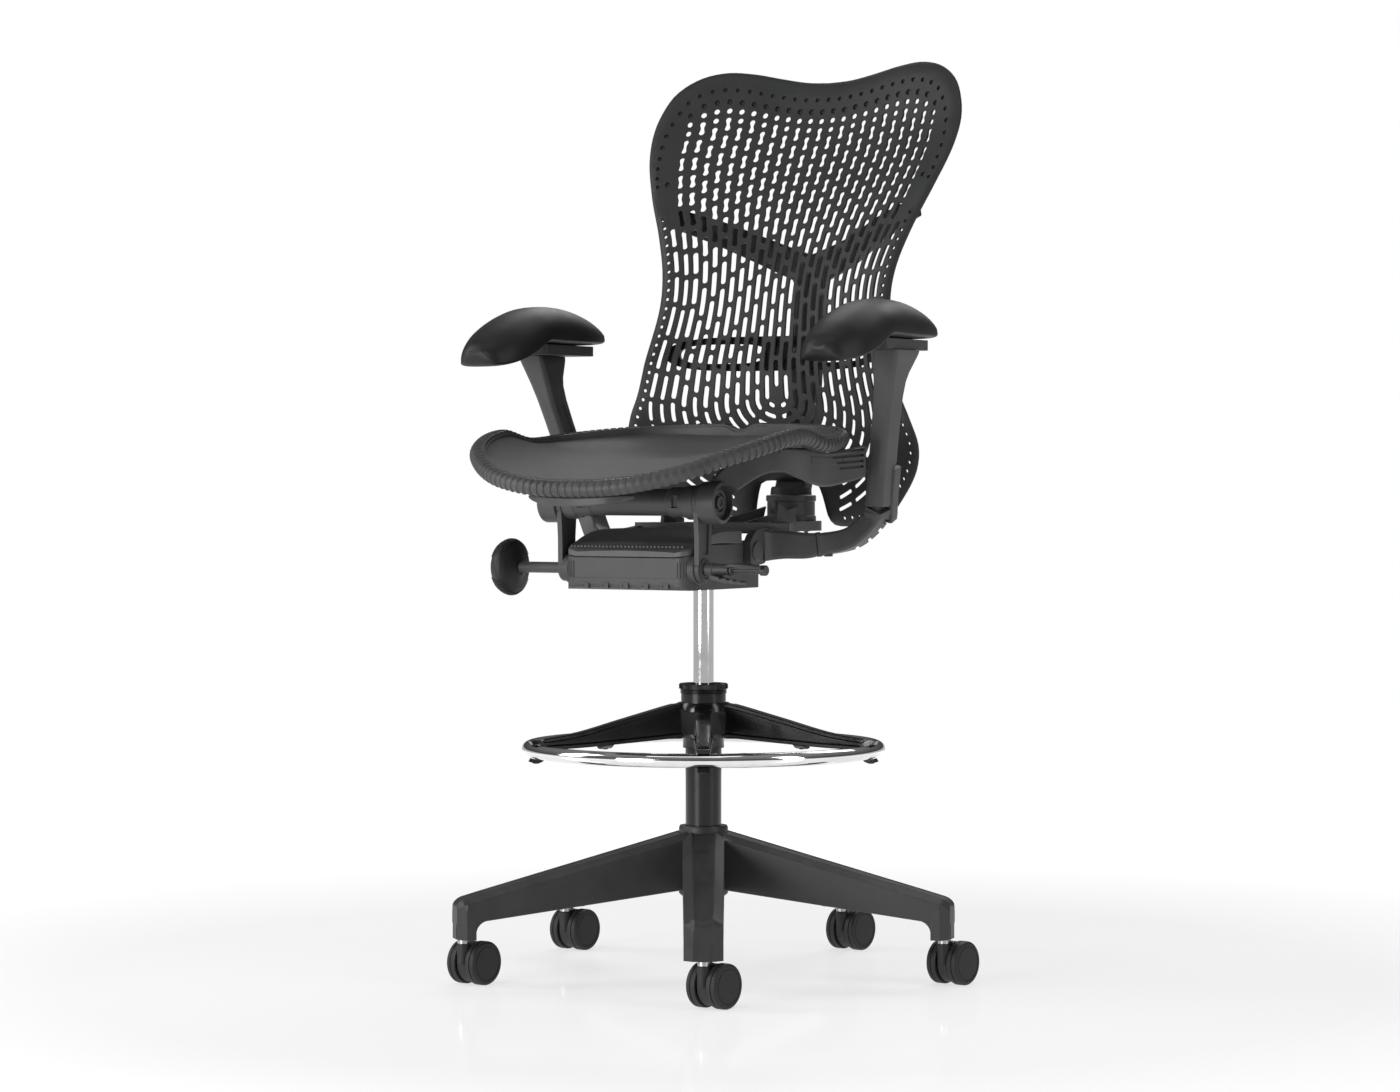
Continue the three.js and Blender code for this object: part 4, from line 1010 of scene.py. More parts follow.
def make_housing():
    """The tilt housing with its pivots, underside clips and panel lines."""
    rear = [(HOUSING_HALF, -22), (HOUSING_HALF - 2, -16), (60, 14), (44, 37), (0, 38)]
    outline = both_halves(housing_plan(HOUSING_HALF, rear)[1:-1])
    side = side_plate([(-210, 549), (-207, 543), (-201, 540), (34, 540), (38, 544), (38, 578), (-22, 578),
                       (-22, 604), (-66, 604), (-66, 600), (-150, 600), (-180, 593), (-204, 585.6),
                       (-210, 583)], -120, 120)
    block = worked(mesh_object("housing_shell", side), kept=[plan_plate(outline, 530, 640)])
    body = eased(block, 3.2, 4, 50)
    parts, cuts = [], [rod(ROD_RADIUS + 0.5, 530, 579.5, 48)]
    for _, sign in SIDES:
        bosses = (rod_x(20, 92, 102.6, LOWER_PIVOT, 56, 1.0), rod_x(15, 92, 105, LOWER_PIVOT, 48),
                  rod_x(12, 92, 111.5, LOWER_PIVOT, 48, 0.8), rod_x(9, 92, 111.8, YOKE_PIVOT, 40, 0.8))
        parts += [mirrored(shape, sign) for shape in bosses]
        cuts.append(mirrored(rod_x(8, 55, 113, LOWER_PIVOT, 36, 0.1), sign))
    for k in range(5):
        x = lerp(-62, 62, k / 4)
        parts.append(oriented_block((11, 5, 7), Matrix.Translation((x, -209, 545.5))))
        cuts.append(oriented_block((7, 3, 3.4), Matrix.Translation((x, -212, 545.5))))
    cuts.append(side_plate([(-220, 555.4), (-220, 556.4), (-209.2, 556.4), (-209.2, 555.4)], -80, 80))
    full = worked(body, parts, cuts)
    flutes = []
    for _, sign in SIDES:
        for k in range(7):
            angle = math.radians(-82 + 11 * k)
            x = sign * (HOUSING_HALF - 20 + 20 * math.cos(angle))
            flutes.append(Matrix.Translation((x, -190 + 20 * math.sin(angle), 556)))
    flute = rod(0.8, 0, 22, 10, edge=0.5)
    ribs = repeated("housing_flutes", flute, flutes, "graphite")
    full = gathered("housing_shell", full, ribs)
    return settle(full, "turntable", "graphite", "tilt_housing", sharp=35)


def cover_height(y):
    """Top of the cover along its middle."""
    return through((-210, 592.5), (-200, 598), (-185, 604), (-150, 616), (-120, 620.6), (-66, 621))(y)


def make_cover():
    """The dark cover: fine slanting ribs on top and a row of round teeth along its front edge."""
    rows, columns, edge = 26, 22, 3.2
    rings = []
    for k in range(rows + 1):
        y = lerp(-210, -66, k / rows)
        run = clamp((y + 210) / 20)
        half = HOUSING_HALF - 20 + 20 * math.sqrt(1 - (1 - run) ** 2)
        under = through((-210, 584.6), (-150, 600.6), (-66, 600.6))(y)
        top = cover_height(y)
        ring = [(half - 0.6, under), (half, under + 1.0)]
        for j in range(4):
            angle = math.radians(90 * j / 3)
            ring.append((half - edge + edge * math.cos(angle), top - 2.2 - edge + edge * math.sin(angle)))
        for j in range(1, columns):
            x = lerp(half - edge, 0, j / columns)
            ring.append((x, top - 2.2 * (x / half) ** 2))
        ring.append((0, top))
        full = ring + [(-x, z) for x, z in reversed(ring[:-1])]
        rings.append([(x, y, z) for x, z in full])
    lid = mesh_object("cover_lid", loft(rings))
    count = int(sizes("chair_base")["ribs_on_cover"])
    slant, spots = math.radians(24), []
    rib = oriented_block((1.2, 1.0, 1.1), Matrix.Identity(4))
    for k in range(count):
        x0 = lerp(-118, 118, k / (count - 1))
        for n in range(10):
            y = lerp(-186, -78, (n + 0.5) / 10)
            x = x0 + (y + 130) * math.tan(slant)
            if abs(x) < HOUSING_HALF - 7:
                z = cover_height(y) - 2.2 * (x / HOUSING_HALF) ** 2 + 0.1
                rise = (cover_height(y + 2) - cover_height(y - 2)) / 4
                along = Vector((math.tan(slant), 1, rise)).normalized()
                across = along.cross(Vector((0, 0, 1))).normalized()
                spots.append(frame_at((x, y, z), across, across.cross(along), (1.0, 12.4, 1.0)))
    ribs = repeated("cover_ribs", rib, spots, "cover_plastic")
    lean, teeth = Matrix.Rotation(math.radians(24), 4, "X"), []
    for k in range(31):
        y = -205 - 3 * (1 - abs(lerp(-1, 1, k / 30)) ** 6)
        teeth.append(Matrix.Translation((lerp(-86, 86, k / 30), y, 598.2)) @ lean)
    tooth = turned([(0, -1), (2.0, -1), (2.1, 0.4), (1.5, 1.3), (0, 1.6)], 10)
    nubs = repeated("cover_teeth", tooth, teeth, "cover_plastic")
    settle(gathered("housing_lid", lid, ribs, nubs), "turntable", "cover_plastic", "housing_cover")


# ---- Knob and levers ----
KNOB_FACE, KNOB_BACK, KNOB_RADIUS = -217, -181, 38


def knob_radius(x):
    """Outline of the knob from its face to its back."""
    return through((KNOB_FACE, 17), (-215, 21), (-212, 27), (-207, 33), (-200, 37), (-195, KNOB_RADIUS),
                   (-190, 36.4), (-187, 32), (-184, 20), (KNOB_BACK, 12))(x)


def make_knob():
    """The tension knob: a dome with two fields of fine grip ribs, on its steel shaft."""
    profile = [(0, KNOB_FACE)] + [(knob_radius(x), x) for x in
                                  (lerp(KNOB_FACE, KNOB_BACK, k / 26) for k in range(27))]
    profile += [(11.2, KNOB_BACK + 0.3), (0, KNOB_BACK + 0.3)]
    dome = mesh_object("knob_dome", turned(profile, 72, "X", (0, *LOWER_PIVOT)))
    pitch = sizes("chair_base")["grip_pitch"]
    rib = oriented_block((1.0, 1.0, 1.0), Matrix.Identity(4))
    spots = []
    count = int(2 * math.pi * KNOB_RADIUS / pitch)
    for k in range(count):
        angle = 2 * math.pi * k / count
        if abs(math.sin(angle)) < 0.42:
            continue
        out = Vector((0, math.cos(angle), math.sin(angle)))
        for n in range(6):
            x = lerp(-211, -189, (n + 0.5) / 6)
            radius = knob_radius(x)
            slope = (knob_radius(x + 1) - knob_radius(x - 1)) / 2
            along = (Vector((1, 0, 0)) + out * slope).normalized()
            point = Vector((x, *LOWER_PIVOT)) + out * (radius + 0.1)
            spots.append(frame_at(point, along, out, (4.6, 1.5, 1.8)))
    ribs = repeated("knob_ribs", rib, spots, "soft_grip")
    settle(gathered("knob_grip", dome, ribs), "tension", "soft_grip", "tension_knob")
    shaft = turned([(0, -180.6), (7.5, -180.6), (7.5, -116), (8.8, -115.4), (8.8, -112.4), (7.5, -112),
                    (7.5, -60), (0, -60)], 48, "X", (0, *LOWER_PIVOT))
    settle(mesh_object("knob_shaft", shaft), "tension", "graphite", "tension_shaft")


def make_levers():
    """The height lever with its leaf paddle, and the stepped tilt lever on its sleeve."""
    path = [(151, -194, 573), (160, -201, 574.6), (174, -206, 575), (190, -202, 573.6), (199, -196, 572)]
    paddle = bar(path, lambda t: (lerp(13, 21, math.sin(math.pi * t)), 4.6, 2.1), 16, (0, 1, 0))
    web = side_plate([(-196, 570), (-196, 576), (-184, 574), (-184, 566)], 155, 195)
    shaft, boss = rod_x(5, 60, 204, LOWER_PIVOT, 36), rod_x(7, 194, 204, LOWER_PIVOT, 36, 1.4)
    collar = rod_x(8.4, 150, 154, LOWER_PIVOT, 36, 0.8)
    lever = eased(built("height_paddle", [shaft, boss, collar, paddle, web]), 0.6, 2, 40)
    settle(lever, "height_handle", "graphite", "height_lever")
    bore = 5.5
    sleeve = turned([(bore, 112.5), (9, 112.5), (9, 124), (8, 125), (8, 148), (bore, 148)], 48, "X",
                    (0, *LOWER_PIVOT))
    finger = bar([(126, -190, 558.5), (138, -195, 556.4), (150, -199, 554), (168, -202, 552),
                  (184, -203, 551)], lambda t: (lerp(16, 12, t), lerp(7, 4.6, t), 2.0), 14, (0, 1, 0))
    steps = [oriented_block((5, lerp(15, 12, k / 3), 2.2),
                            Matrix.Translation((lerp(140, 172, k / 3), -199 - k, 557.4 - 1.3 * k)))
             for k in range(4)]
    lower = eased(built("tilt_finger", [sleeve, finger, *steps]), 0.5, 2, 40)
    settle(lower, "tilt_handle", "graphite", "tilt_lever")


# ---- Links, cross tube and seat rails ----
BOSS_START, BOSS_END = 110.4, 138


def make_links():
    """The two front links: plates between the housing pivots and the cross tube."""
    for side, sign in SIDES:
        y0, y1 = LOWER_PIVOT[0], UPPER_PIVOT[0]
        web = side_plate([(y0 - 16.5, 568), (y0 + 16.5, 568), (y1 + 17, 610), (y1 + 21, 657),
                          (y1 - 21, 657), (y1 - 17, 610)], 103, 110)
        parts = [web, rod_x(18, 103, 110, LOWER_PIVOT, 56), rod_x(24, 103, 110, UPPER_PIVOT, 56),
                 rod_x(15.4, 109, 111.4, LOWER_PIVOT, 48, 0.8)]
        cuts = [rod_x(12.5, 100, 113, LOWER_PIVOT, 48, 0.1), rod_x(14, 100, 113, UPPER_PIVOT, 48, 0.1),
                side_plate([(y0 - 8, 588), (y0 + 8, 588), (y0 + 10, 628), (y0 - 10, 628)], 107.8, 112)]
        link = eased(built(f"link_{side}", [mirrored(s, sign) for s in parts],
                           [mirrored(s, sign) for s in cuts]), 0.9, 3, 40)
        settle(link, "front_links", "graphite", f"front_link_{side}")


def make_cross_tube():
    """The stepped front cross tube, with clip notches in its sleeves."""
    half = [(18, 0), (18, 57), (18.6, 58.5), (20.0, 61), (20.5, 62.5), (20.5, 83), (21.4, 84.4), (23, 87),
            (23, 101.8), (22.2, 102.6), (13.5, 102.6), (13.5, 123.2), (12.7, 124), (0, 124)]
    profile = [(r, -x) for r, x in reversed(half)] + half[1:]
    y, z = UPPER_PIVOT
    cuts = []
    for _, sign in SIDES:
        cuts.append(mirrored(box_shape((70, y - 25, z - 7), (78, y - 17.5, z + 9)), sign))
        cuts.append(mirrored(box_shape((66, y - 8, z - 24), (80, y + 8, z - 18.2)), sign))
    tube = eased(built("front_tube", [turned(profile, 72, "X", (0, y, z))], cuts), 0.5, 2, 40)
    settle(tube, "seat", "graphite", "cross_tube")


side_height = through((SEAT_FRONT, 686), (-340, 696), (-280, 727), (-160, 755), (-80, 745), (0, 752),
                      (SEAT_REAR, 766))
centre_height = through((SEAT_FRONT, 686), (-300, 704), (-200, 722), (-100, 726), (0, 732),
                        (SEAT_REAR, 758))


def rail_section(y):
    """Middle line X, bottom and top of a seat rail at Y."""
    across = through((-186, 122), (-172, 138), (-150, 173), (-110, 206.5), (-70, 222.5), (-30, 231),
                     (4, 234.3), (22, 235.4))
    low = through((-186, 645), (-172, 664), (-150, 692), (-128, 697), (-110, 690), (-70, 678), (-30, 682),
                  (4, 687), (22, 690))
    top = through((-186, 690), (-172, 709), (-150, 724), (-110, side_height(-110) - 23),
                  (-70, side_height(-70) - 23), (-30, side_height(-30) - 23), (4, side_height(4) - 23),
                  (22, side_height(22) - 23))
    return across(y), low(y), top(y)


def rail_ring(y, thickness, grow_low=0.0, grow_top=0.0, out=0.0, corner=3.4):
    """A rounded upright section of the rail at Y."""
    x, low, top = rail_section(y)
    before, after = rail_section(y - 2), rail_section(y + 2)
    along = Vector((after[0] - before[0], 4, 0)).normalized()
    across = Vector((along.y, -along.x, 0))
    low, top = low + grow_low, top + grow_top
    middle = Vector((x, y, (low + top) / 2)) + across * out
    return [middle + across * a + Vector((0, 0, b)) for a, b in rounded(thickness, top - low, corner, 3)]


def rail_strip(y0, y1, top_drop, bottom_drop, out, thickness, steps=12, corner=0.6):
    """A strip along the outer face of the rail, hung from its top line."""
    rings = []
    for k in range(steps + 1):
        y = lerp(y0, y1, k / steps)
        _, low, top = rail_section(y)
        rings.append(rail_ring(y, thickness, (top - bottom_drop) - low, -top_drop, out, corner))
    return loft(rings)


def make_rails():
    """The sculpted seat rails, each with an open end boss, a top band, teeth and a louvre."""
    for side, sign in SIDES:
        stations = [lerp(-186, 22, k / 44) for k in range(45)]
        blade = loft([rail_ring(y, 12) for y in stations])
        boss = turned([(0, BOSS_START), (27, BOSS_START), (28, BOSS_START + 1), (28, BOSS_END - 2.4),
                       (27.4, BOSS_END - 0.8), (25.8, BOSS_END), (0, BOSS_END)], 72, "X", (0, *UPPER_PIVOT))
        lip = rail_strip(-132, 22, -0.6, 3.4, 0.9, 13.6)
        band = rail_strip(-92, 22, 5.6, 15.5, 0.5, 12.4)
        fence = rail_strip(-150, 14, -0.2, 2.4, -1.0, 15)
        cuts = [rod_x(23.2, BOSS_START + 18.5, BOSS_END + 40, UPPER_PIVOT, 64, 0.1),
                rod_x(13.9, BOSS_START - 1, BOSS_START + 16, UPPER_PIVOT, 48, 0.1)]
        seam_y = -36
        x, _, top = rail_section(seam_y)
        cuts.append(box_shape((x + 5.2, seam_y - 0.5, top - 17), (x + 20, seam_y + 0.5, top - 4)))
        for k in range(4):
            y0, y1 = -64 + 7.5 * k, 16
            z = 724 - 7.2 * k
            x, _, _ = rail_section((y0 + y1) / 2)
            slot = loft([[(rail_section(y)[0] + dx, y, z + dz + 0.05 * (y - y0)) for dx, dz in
                          ((2.4, -1.7), (14, -1.7), (14, 1.7), (2.4, 1.7))] for y in
                         (y0, lerp(y0, y1, 0.5), y1)])
            cuts.append(slot)
        parts = [boss, blade, lip, band, fence]
        rail = built(f"rail_{side}", [mirrored(s, sign) for s in parts], [mirrored(s, sign) for s in cuts])
        rail = eased(rail, 0.6, 2, 40)
        floor = BOSS_START + 18
        inner_ring = turned([(13, floor), (17, floor), (17, floor + 3.5), (13, floor + 3.5)], 48, "X",
                            (0, *UPPER_PIVOT))
        bolt = turned([(0, floor), (9, floor), (9, floor + 5), (8.2, floor + 5.8), (5, floor + 5.8),
                       (4.4, floor + 3.6), (0, floor + 3.6)], 36, "X", (0, *UPPER_PIVOT))
        tooth, spots = turned([(0, -2.2), (2.6, -2.2), (2.9, 0), (2.2, 2.4), (0, 3.0)], 10, "X"), []
        for k in range(18):
            y = lerp(-148, -100, k / 17)
            x, _, top = rail_section(y)
            spots.append(Matrix.Translation((sign * (x + 6.2), y, top + 0.4)))
        row = repeated(f"rail_{side}_teeth", tooth, spots, "graphite")
        details = [mesh_object(f"rail_{side}_ring", mirrored(inner_ring, sign)),
                   mesh_object(f"rail_{side}_bolt", mirrored(bolt, sign))]
        settle(gathered(f"rail_{side}", rail, row, *details), "seat", "graphite", f"seat_rail_{side}")


# ---- Seat ----
SEAT_MIDDLE = (SEAT_FRONT + SEAT_REAR) / 2
RIM_POWER = 2.5


def seat_outline(angle, inset):
    """A point of the seat's plan outline, shrunk by inset."""
    depth, power = (SEAT_REAR - SEAT_FRONT) / 2 - inset, 2 / RIM_POWER
    c, s = math.cos(angle), math.sin(angle)
    return ((SEAT_HALF - inset) * math.copysign(abs(c) ** power, c),
            SEAT_MIDDLE + depth * math.copysign(abs(s) ** power, s))


def seat_height(x, y):
    """Top of the rim or weave at a plan point, before the weave's sag."""
    share = min(abs(y - SEAT_MIDDLE) / ((SEAT_REAR - SEAT_FRONT) / 2), 0.999)
    half = SEAT_HALF * (1 - share ** RIM_POWER) ** (1 / RIM_POWER)
    across = min(abs(x) / max(half, 1), 1)
    return lerp(centre_height(y), side_height(y), across * across)


def rim_frames(count):
    """count placing frames round the rim at even steps: (middle, outward, along)."""
    fine = 1440
    loop = []
    for k in range(fine):
        angle = 2 * math.pi * k / fine
        x, y = seat_outline(angle, RIM_WIDTH / 2)
        ox, oy = seat_outline(angle, 0)
        loop.append((Vector((x, y, seat_height(ox, oy))), Vector((ox - x, oy - y, 0)).normalized()))
    runs = [0.0]
    for k in range(fine):
        runs.append(runs[-1] + (loop[(k + 1) % fine][0] - loop[k][0]).length)
    frames, k = [], 0
    for n in range(count):
        goal = runs[-1] * n / count
        while runs[k + 1] < goal:
            k += 1
        (a, out_a), (b, out_b) = loop[k], loop[(k + 1) % fine]
        t = (goal - runs[k]) / max(runs[k + 1] - runs[k], 1e-9)
        frames.append((a.lerp(b, t), out_a.lerp(out_b, t).normalized(), (b - a).normalized()))
    return frames


def rim_section(grow=0.0):
    """Section of the rim: crowned outside, with a lip and a groove where the weave is held."""
    points = []
    for k in range(13):
        angle = math.radians(lerp(-88, 96, k / 12))
        points.append((1.6 + (9.6 + grow) * math.cos(angle), -10.8 + (10.4 + grow) * math.sin(angle)))
    points += [(-4.0, -0.5 + grow), (-7.6, -1.3 + grow * 0.6), (-8.0, -4.4), (-10.6, -4.4), (-11.3, -5.4),
               (-11.3, -19), (-9.6, -21), (-3, -21.6)]
    return points


def make_seat_frame():
    """The ribbed rim of the seat."""
    seat = sizes("chair_seat")
    section = rim_section()
    rings = [[middle + out * a + Vector((0, 0, b)) for a, b in section]
             for middle, out, _ in rim_frames(200)]
    rim = mesh_object("seat_rim_body", loft(rings, loop=True))
    length_round = sum((a[0] - b[0]).length for a, b in zip(rim_frames(200), rim_frames(200)[1:]))
    count = 2 * int(length_round / seat["rib_pitch"] / 2)
    grown = rim_section(seat["rib_height"])[1:14]
    sunk = [(1.6 + (a - 1.6) * 0.86, -10.8 + (b + 10.8) * 0.86) for a, b in grown]
    outline, half = grown + sunk[::-1], seat["rib_width"] / 2
    rib_rings = []
    for along, shrink in ((-half, 0.93), (-half + 1.1, 1.0), (half - 1.1, 1.0), (half, 0.93)):
        rib_rings.append([(1.6 + (a - 1.6) * shrink, along, -10.8 + (b + 10.8) * shrink)
                          for a, b in outline])
    places = []
    for middle, out, along in rim_frames(count):
        z_axis = out.cross(along)
        z_axis = z_axis if z_axis.z > 0 else -z_axis
        places.append(frame_at(middle, out, z_axis))
    ribs = repeated("seat_rim_ribs", loft(rib_rings), places, "graphite")
    settle(gathered("seat_rim", rim, ribs), "seat", "graphite", "seat_frame", sharp=44)


def make_seat_mesh():
    """The stretched weave, sagging a little between the rim's sides."""
    rows, around, sag = 30, 128, 4.0
    rings_top, rings_low = [], []
    for k in range(rows + 1):
        share = max(k / rows, 0.004)
        top, low = [], []
        for i in range(around):
            x, y = seat_outline(2 * math.pi * i / around, RIM_WIDTH - 9)
            x, y = x * share, SEAT_MIDDLE + (y - SEAT_MIDDLE) * share
            z = seat_height(x, y) - lerp(5.2, 3.4, share ** 8) - sag * (1 - share ** 2)
            top.append((x, y, z))
            low.append((x, y, z - 1.6))
        rings_top.append(top)
        rings_low.append(low)
    skin = mesh_object("seat_weave_skin", loft(rings_top + rings_low[::-1]))
    settle(skin, "seat", "seat_weave", "seat_mesh", sharp=60)


def make_seat_paddle():
    """The crescent depth handle under the seat's front edge."""
    path = [(-80, -318, 665), (-64, -325, 662.4), (-45, -332, 660), (0, -337, 658), (45, -332, 660),
            (64, -325, 662.4), (80, -318, 665)]
    blade = bar(path, lambda t: (lerp(7, 20, math.sin(math.pi * t) ** 0.7),
                                 lerp(3.6, 11.5, math.sin(math.pi * t) ** 0.8), 1.7), 36, (0, 1, 0))
    ridge = bar([(x * 0.86, y + 1.0, z + 4.6 - abs(x) / 40) for x, y, z in path],
                lambda t: (3.0, 2.2, 1.0), 30, (0, 1, 0))
    handle = built("depth_handle", [blade, ridge])
    settle(handle, "seat_handle", "graphite", "seat_paddle")


# ---- Yoke, brackets and arms ----
SEAM = Vector((163, 26, 598))
SEAM_WAY = Vector((34, 22, 4)).normalized()
DRUM_Y, DRUM_RADIUS, DRUM_TOP = 252, 36, 664


def seam_point(along):
    """A point on the line through the bolted seam between yoke and bracket."""
    return SEAM + SEAM_WAY * along


def make_yoke():
    """The back yoke: cheeks on the pivots, wings to the arm brackets, a web and the spine drum."""
    parts, cuts = [], []
    plate = [(107.8, -4), (124, 22), (112, 46), (96, 66), (70, 100), (52, 140), (44, 165), (41, 190),
             (41, 262), (37, 276), (28, 290), (12, 294)]
    parts.append(plan_plate(both_halves(plate), 613, 627))
    parts.append(turned([(0, 613), (DRUM_RADIUS, 613), (DRUM_RADIUS, 634), (34.4, 635), (34.4, 655),
                         (DRUM_RADIUS, 656), (DRUM_RADIUS, 662.8), (34.8, DRUM_TOP), (0, DRUM_TOP)], 72,
                        at=(0, DRUM_Y, 0)))
    for _, sign in SIDES:
        cheek = side_plate([(-62, 576), (-62, 603), (-56, 611), (-46, 618), (24, 625), (24, 603),
                            (-2, 590), (-24, 573), (-54, 569)], 98.8, 109.8)
        wing = bar([(104, -22, 597), (112, -10, 597.6), (128, 2, 598), seam_point(-12), seam_point(-0.4)],
                   lambda t: (lerp(16, 22, t), lerp(44, 32, t), 5), 16, (0, 1, 0), 4)
        bolt = rod_x(13, 109, 112.6, YOKE_PIVOT, 40, 1.2)
        fin = loft([[(x, y, z) for y, z in ((40, 626), (98, 626), (98, 632), (46, 656))]
                    for x in (88, 93)])
        rib = loft([[(x, y, z) for y, z in ((60, 626), (212, 626), (222, 648), (200, 644), (120, 634))]
                    for x in (24, 28)])
        parts += [mirrored(shape, sign) for shape in (cheek, wing, bolt, fin, rib)]
        cuts += [mirrored(rod_x(9.5, 97, 108.6, YOKE_PIVOT, 40, 0.1), sign),
                 mirrored(plan_plate([(58, 84), (84, 50), (88, 54), (62, 92)], 600, 640), sign),
                 mirrored(side_plate([(-12, 596), (-12, 606), (14, 610), (14, 603)], 107.4, 116), sign)]
    cuts.append(plan_plate([(-14, 90), (14, 90), (16, 160), (-16, 160)], 619, 640))
    yoke = eased(built("back_carrier", parts, cuts), 1.0, 3, 40)
    heads = [Matrix.Translation((sign * 16, DRUM_Y + off, 612.8)) for sign in (1, -1) for off in (-16, 16)]
    head = turned([(0, -3.4), (2.6, -3.4), (3, -1), (5.6, -1), (6.4, -0.4), (6.4, 0.6), (0, 0.6)], 20)
    bolts = repeated("carrier_bolts", head, heads, "steel")
    settle(gathered("back_carrier", yoke, bolts), "back", "graphite", "back_yoke")


def arm_line(z):
    """Centre line of an arm at height Z, on the sitter's left."""
    return Vector((269 + 0.231 * (z - 800), 34.5 - 0.26 * (z - 800), z))


def make_brackets():
    """The curved arm brackets, with a notched lower edge and a tongue up into the upright."""
    for side, sign in SIDES:
        path = [seam_point(0.4), seam_point(12), Vector((204, 56, 608)), arm_line(634) - Vector((3, 3, 0)),
                arm_line(646)]
        curve = bar(path, lambda t: (lerp(22, 42, t), lerp(32, 25, t), 5), 34, (0, 1, 0), 4)
        tongue = bar([arm_line(638), arm_line(700), arm_line(752)], lambda t: (26, 10, 1.8), 4, (0, 1, 0))
        collar = bar([arm_line(640), arm_line(643.4), arm_line(646.6)], lambda t: (44, 27, 6), 4,
                     (0, 1, 0), 4)
        seam = bar([seam_point(0.4), seam_point(3), seam_point(6.4)], lambda t: (24, 33.4, 5), 3,
                   (0, 1, 0), 4)
        cuts = []
        curve_path = [Vector(p) for p in path]
        for k in range(4):
            t = lerp(0.50, 0.80, k / 3)
            centre = curve_point(curve_path, t)
            tangent = (curve_point(curve_path, t + 0.01) - curve_point(curve_path, t - 0.01)).normalized()
            across = (Vector((0, 1, 0)) - tangent * tangent.y).normalized()
            up = tangent.cross(across)
            depth = lerp(32, 26, t) / 2
            place = Matrix.Translation(centre - up * (depth - 1.5) * (1 if up.z > 0 else -1)
                                       + across * lerp(6, 12, t))
            turn = Matrix((tangent, across, tangent.cross(across))).transposed().to_4x4()
            cuts.append(oriented_block((6.4, 17, 8), place @ turn))
        bracket = built(f"bracket_{side}", [mirrored(s, sign) for s in (curve, tongue, collar, seam)],
                        [mirrored(s, sign) for s in cuts])
        bolt = turned([(0, -2), (6, -2), (6.4, 0), (5.6, 1.4), (3, 1.6), (2.4, 0.6), (0, 0.6)], 24)
        spot = frame_at(Vector((sign * 178, 33, 583.4)), (1, 0, 0), (0, 0, -1))
        head = repeated(f"bracket_{side}_bolt", bolt, [spot], "steel")
        settle(gathered(f"bracket_{side}", eased(bracket, 0.8, 2, 40), head), "back", "graphite",
               f"arm_bracket_{side}")


def upright_size(z):
    """Front-to-back width and thickness of the upright at Z, before its head flares."""
    return lerp(43, 46, clamp((z - 650) / 200)), 28


def make_uprights():
    """The arm uprights, flaring into their heads, and the lock flaps behind them."""
    for side, sign in SIDES:
        levels = [650, 653, 690, 730, 770, 800, 820, 832, 842, 850, 856, 860, 862]
        flare = through((650, 0), (800, 0), (826, 3), (845, 14), (858, 22), (862, 23))
        spread = through((650, 0), (790, 0), (830, 3), (858, 6), (862, 6))
        rings = []
        for z in levels:
            middle = arm_line(z)
            width, thick = upright_size(z)
            ease = 2.0 if z == levels[0] else 0.0
            back = flare(z)
            corner = 9 - 3 * clamp((z - 820) / 40)
            points = rounded(thick + 2 * spread(z) - ease, width + back - ease, corner, 4)
            rings.append([middle + Vector((a, b + back / 2, 0)) for a, b in points])
        post = loft(rings)
        slot = bar([arm_line(640), arm_line(700), arm_line(764)], lambda t: (28, 12, 1.8), 4, (0, 1, 0))
        inner_face = Vector((-14, 2, 0))
        window = bar([arm_line(738) + inner_face, arm_line(765) + inner_face, arm_line(792) + inner_face],
                     lambda t: (7, 5, 2.4), 8, (0, 1, 0))
        pocket = bar([arm_line(632) + Vector((8, 24, 0)), arm_line(670) + Vector((8, 23, 0)),
                      arm_line(712) + Vector((8, 23, 0))], lambda t: (25, 30, 2.5), 6, (0, 1, 0))
        post_object = built(f"upright_{side}", [mirrored(post, sign)],
                            [mirrored(slot, sign), mirrored(window, sign), mirrored(pocket, sign)])
        pin = turned([(0, -11.5), (2.2, -11.5), (2.6, -11), (2.6, 11), (2.2, 11.5), (0, 11.5)], 20, "X",
                     arm_line(708) + Vector((-4, 22.4, 0)))
        pin_object = mesh_object(f"upright_{side}_pin", mirrored(pin, sign))
        settle(gathered(f"upright_{side}", eased(post_object, 0.7, 2, 44), pin_object), f"arm_{side}",
               "graphite", f"arm_upright_{side}")
        at = [arm_line(z) + Vector((6.5, 15 + back, 0)) for z, back in
              ((705, 2), (686, 2.4), (668, 3), (650, 5), (638, 8), (632, 9.5))]
        flap = bar(at, lambda t: (lerp(20, 18, t), lerp(20, 15, t ** 2), 3.2), 20, (0, 1, 0), 4)
        settle(mesh_object(f"lock_flap_{side}", mirrored(flap, sign)), f"lock_{side}", "graphite",
               f"arm_lock_{side}")


PAD_TOE = math.radians(0.5)
PAD_FRONT, PAD_BACK = -165, 138


def pad_place(sign):
    """Turns a pad shape from its own lines to its place over the arm."""
    turn = Matrix.Rotation(PAD_TOE * sign, 4, "Z")
    return Matrix.Translation((268 * sign, 0, 0)) @ turn


def pad_profile(y):
    """(underside, top, half width) of the pad at Y."""
    under = through((-165, 858), (-160, 848), (-150, 843), (-120, 848), (-80, 862), (-50, 877), (-36, 879),
                    (0, 878.5), (60, 878.5), (116, 880), (138, 886))
    over = through((-165, 862), (-160, 873), (-150, 882), (-120, 900), (-80, 917), (-30, 929), (30, 930),
                   (80, 921), (112, 909), (130, 898), (138, 892))
    half = through((-165, 8), (-160, 22), (-150, 33), (-120, 46), (-70, 50), (40, 48), (90, 43),
                   (122, 33), (134, 20), (138, 10))
    return under(y), over(y), half(y)


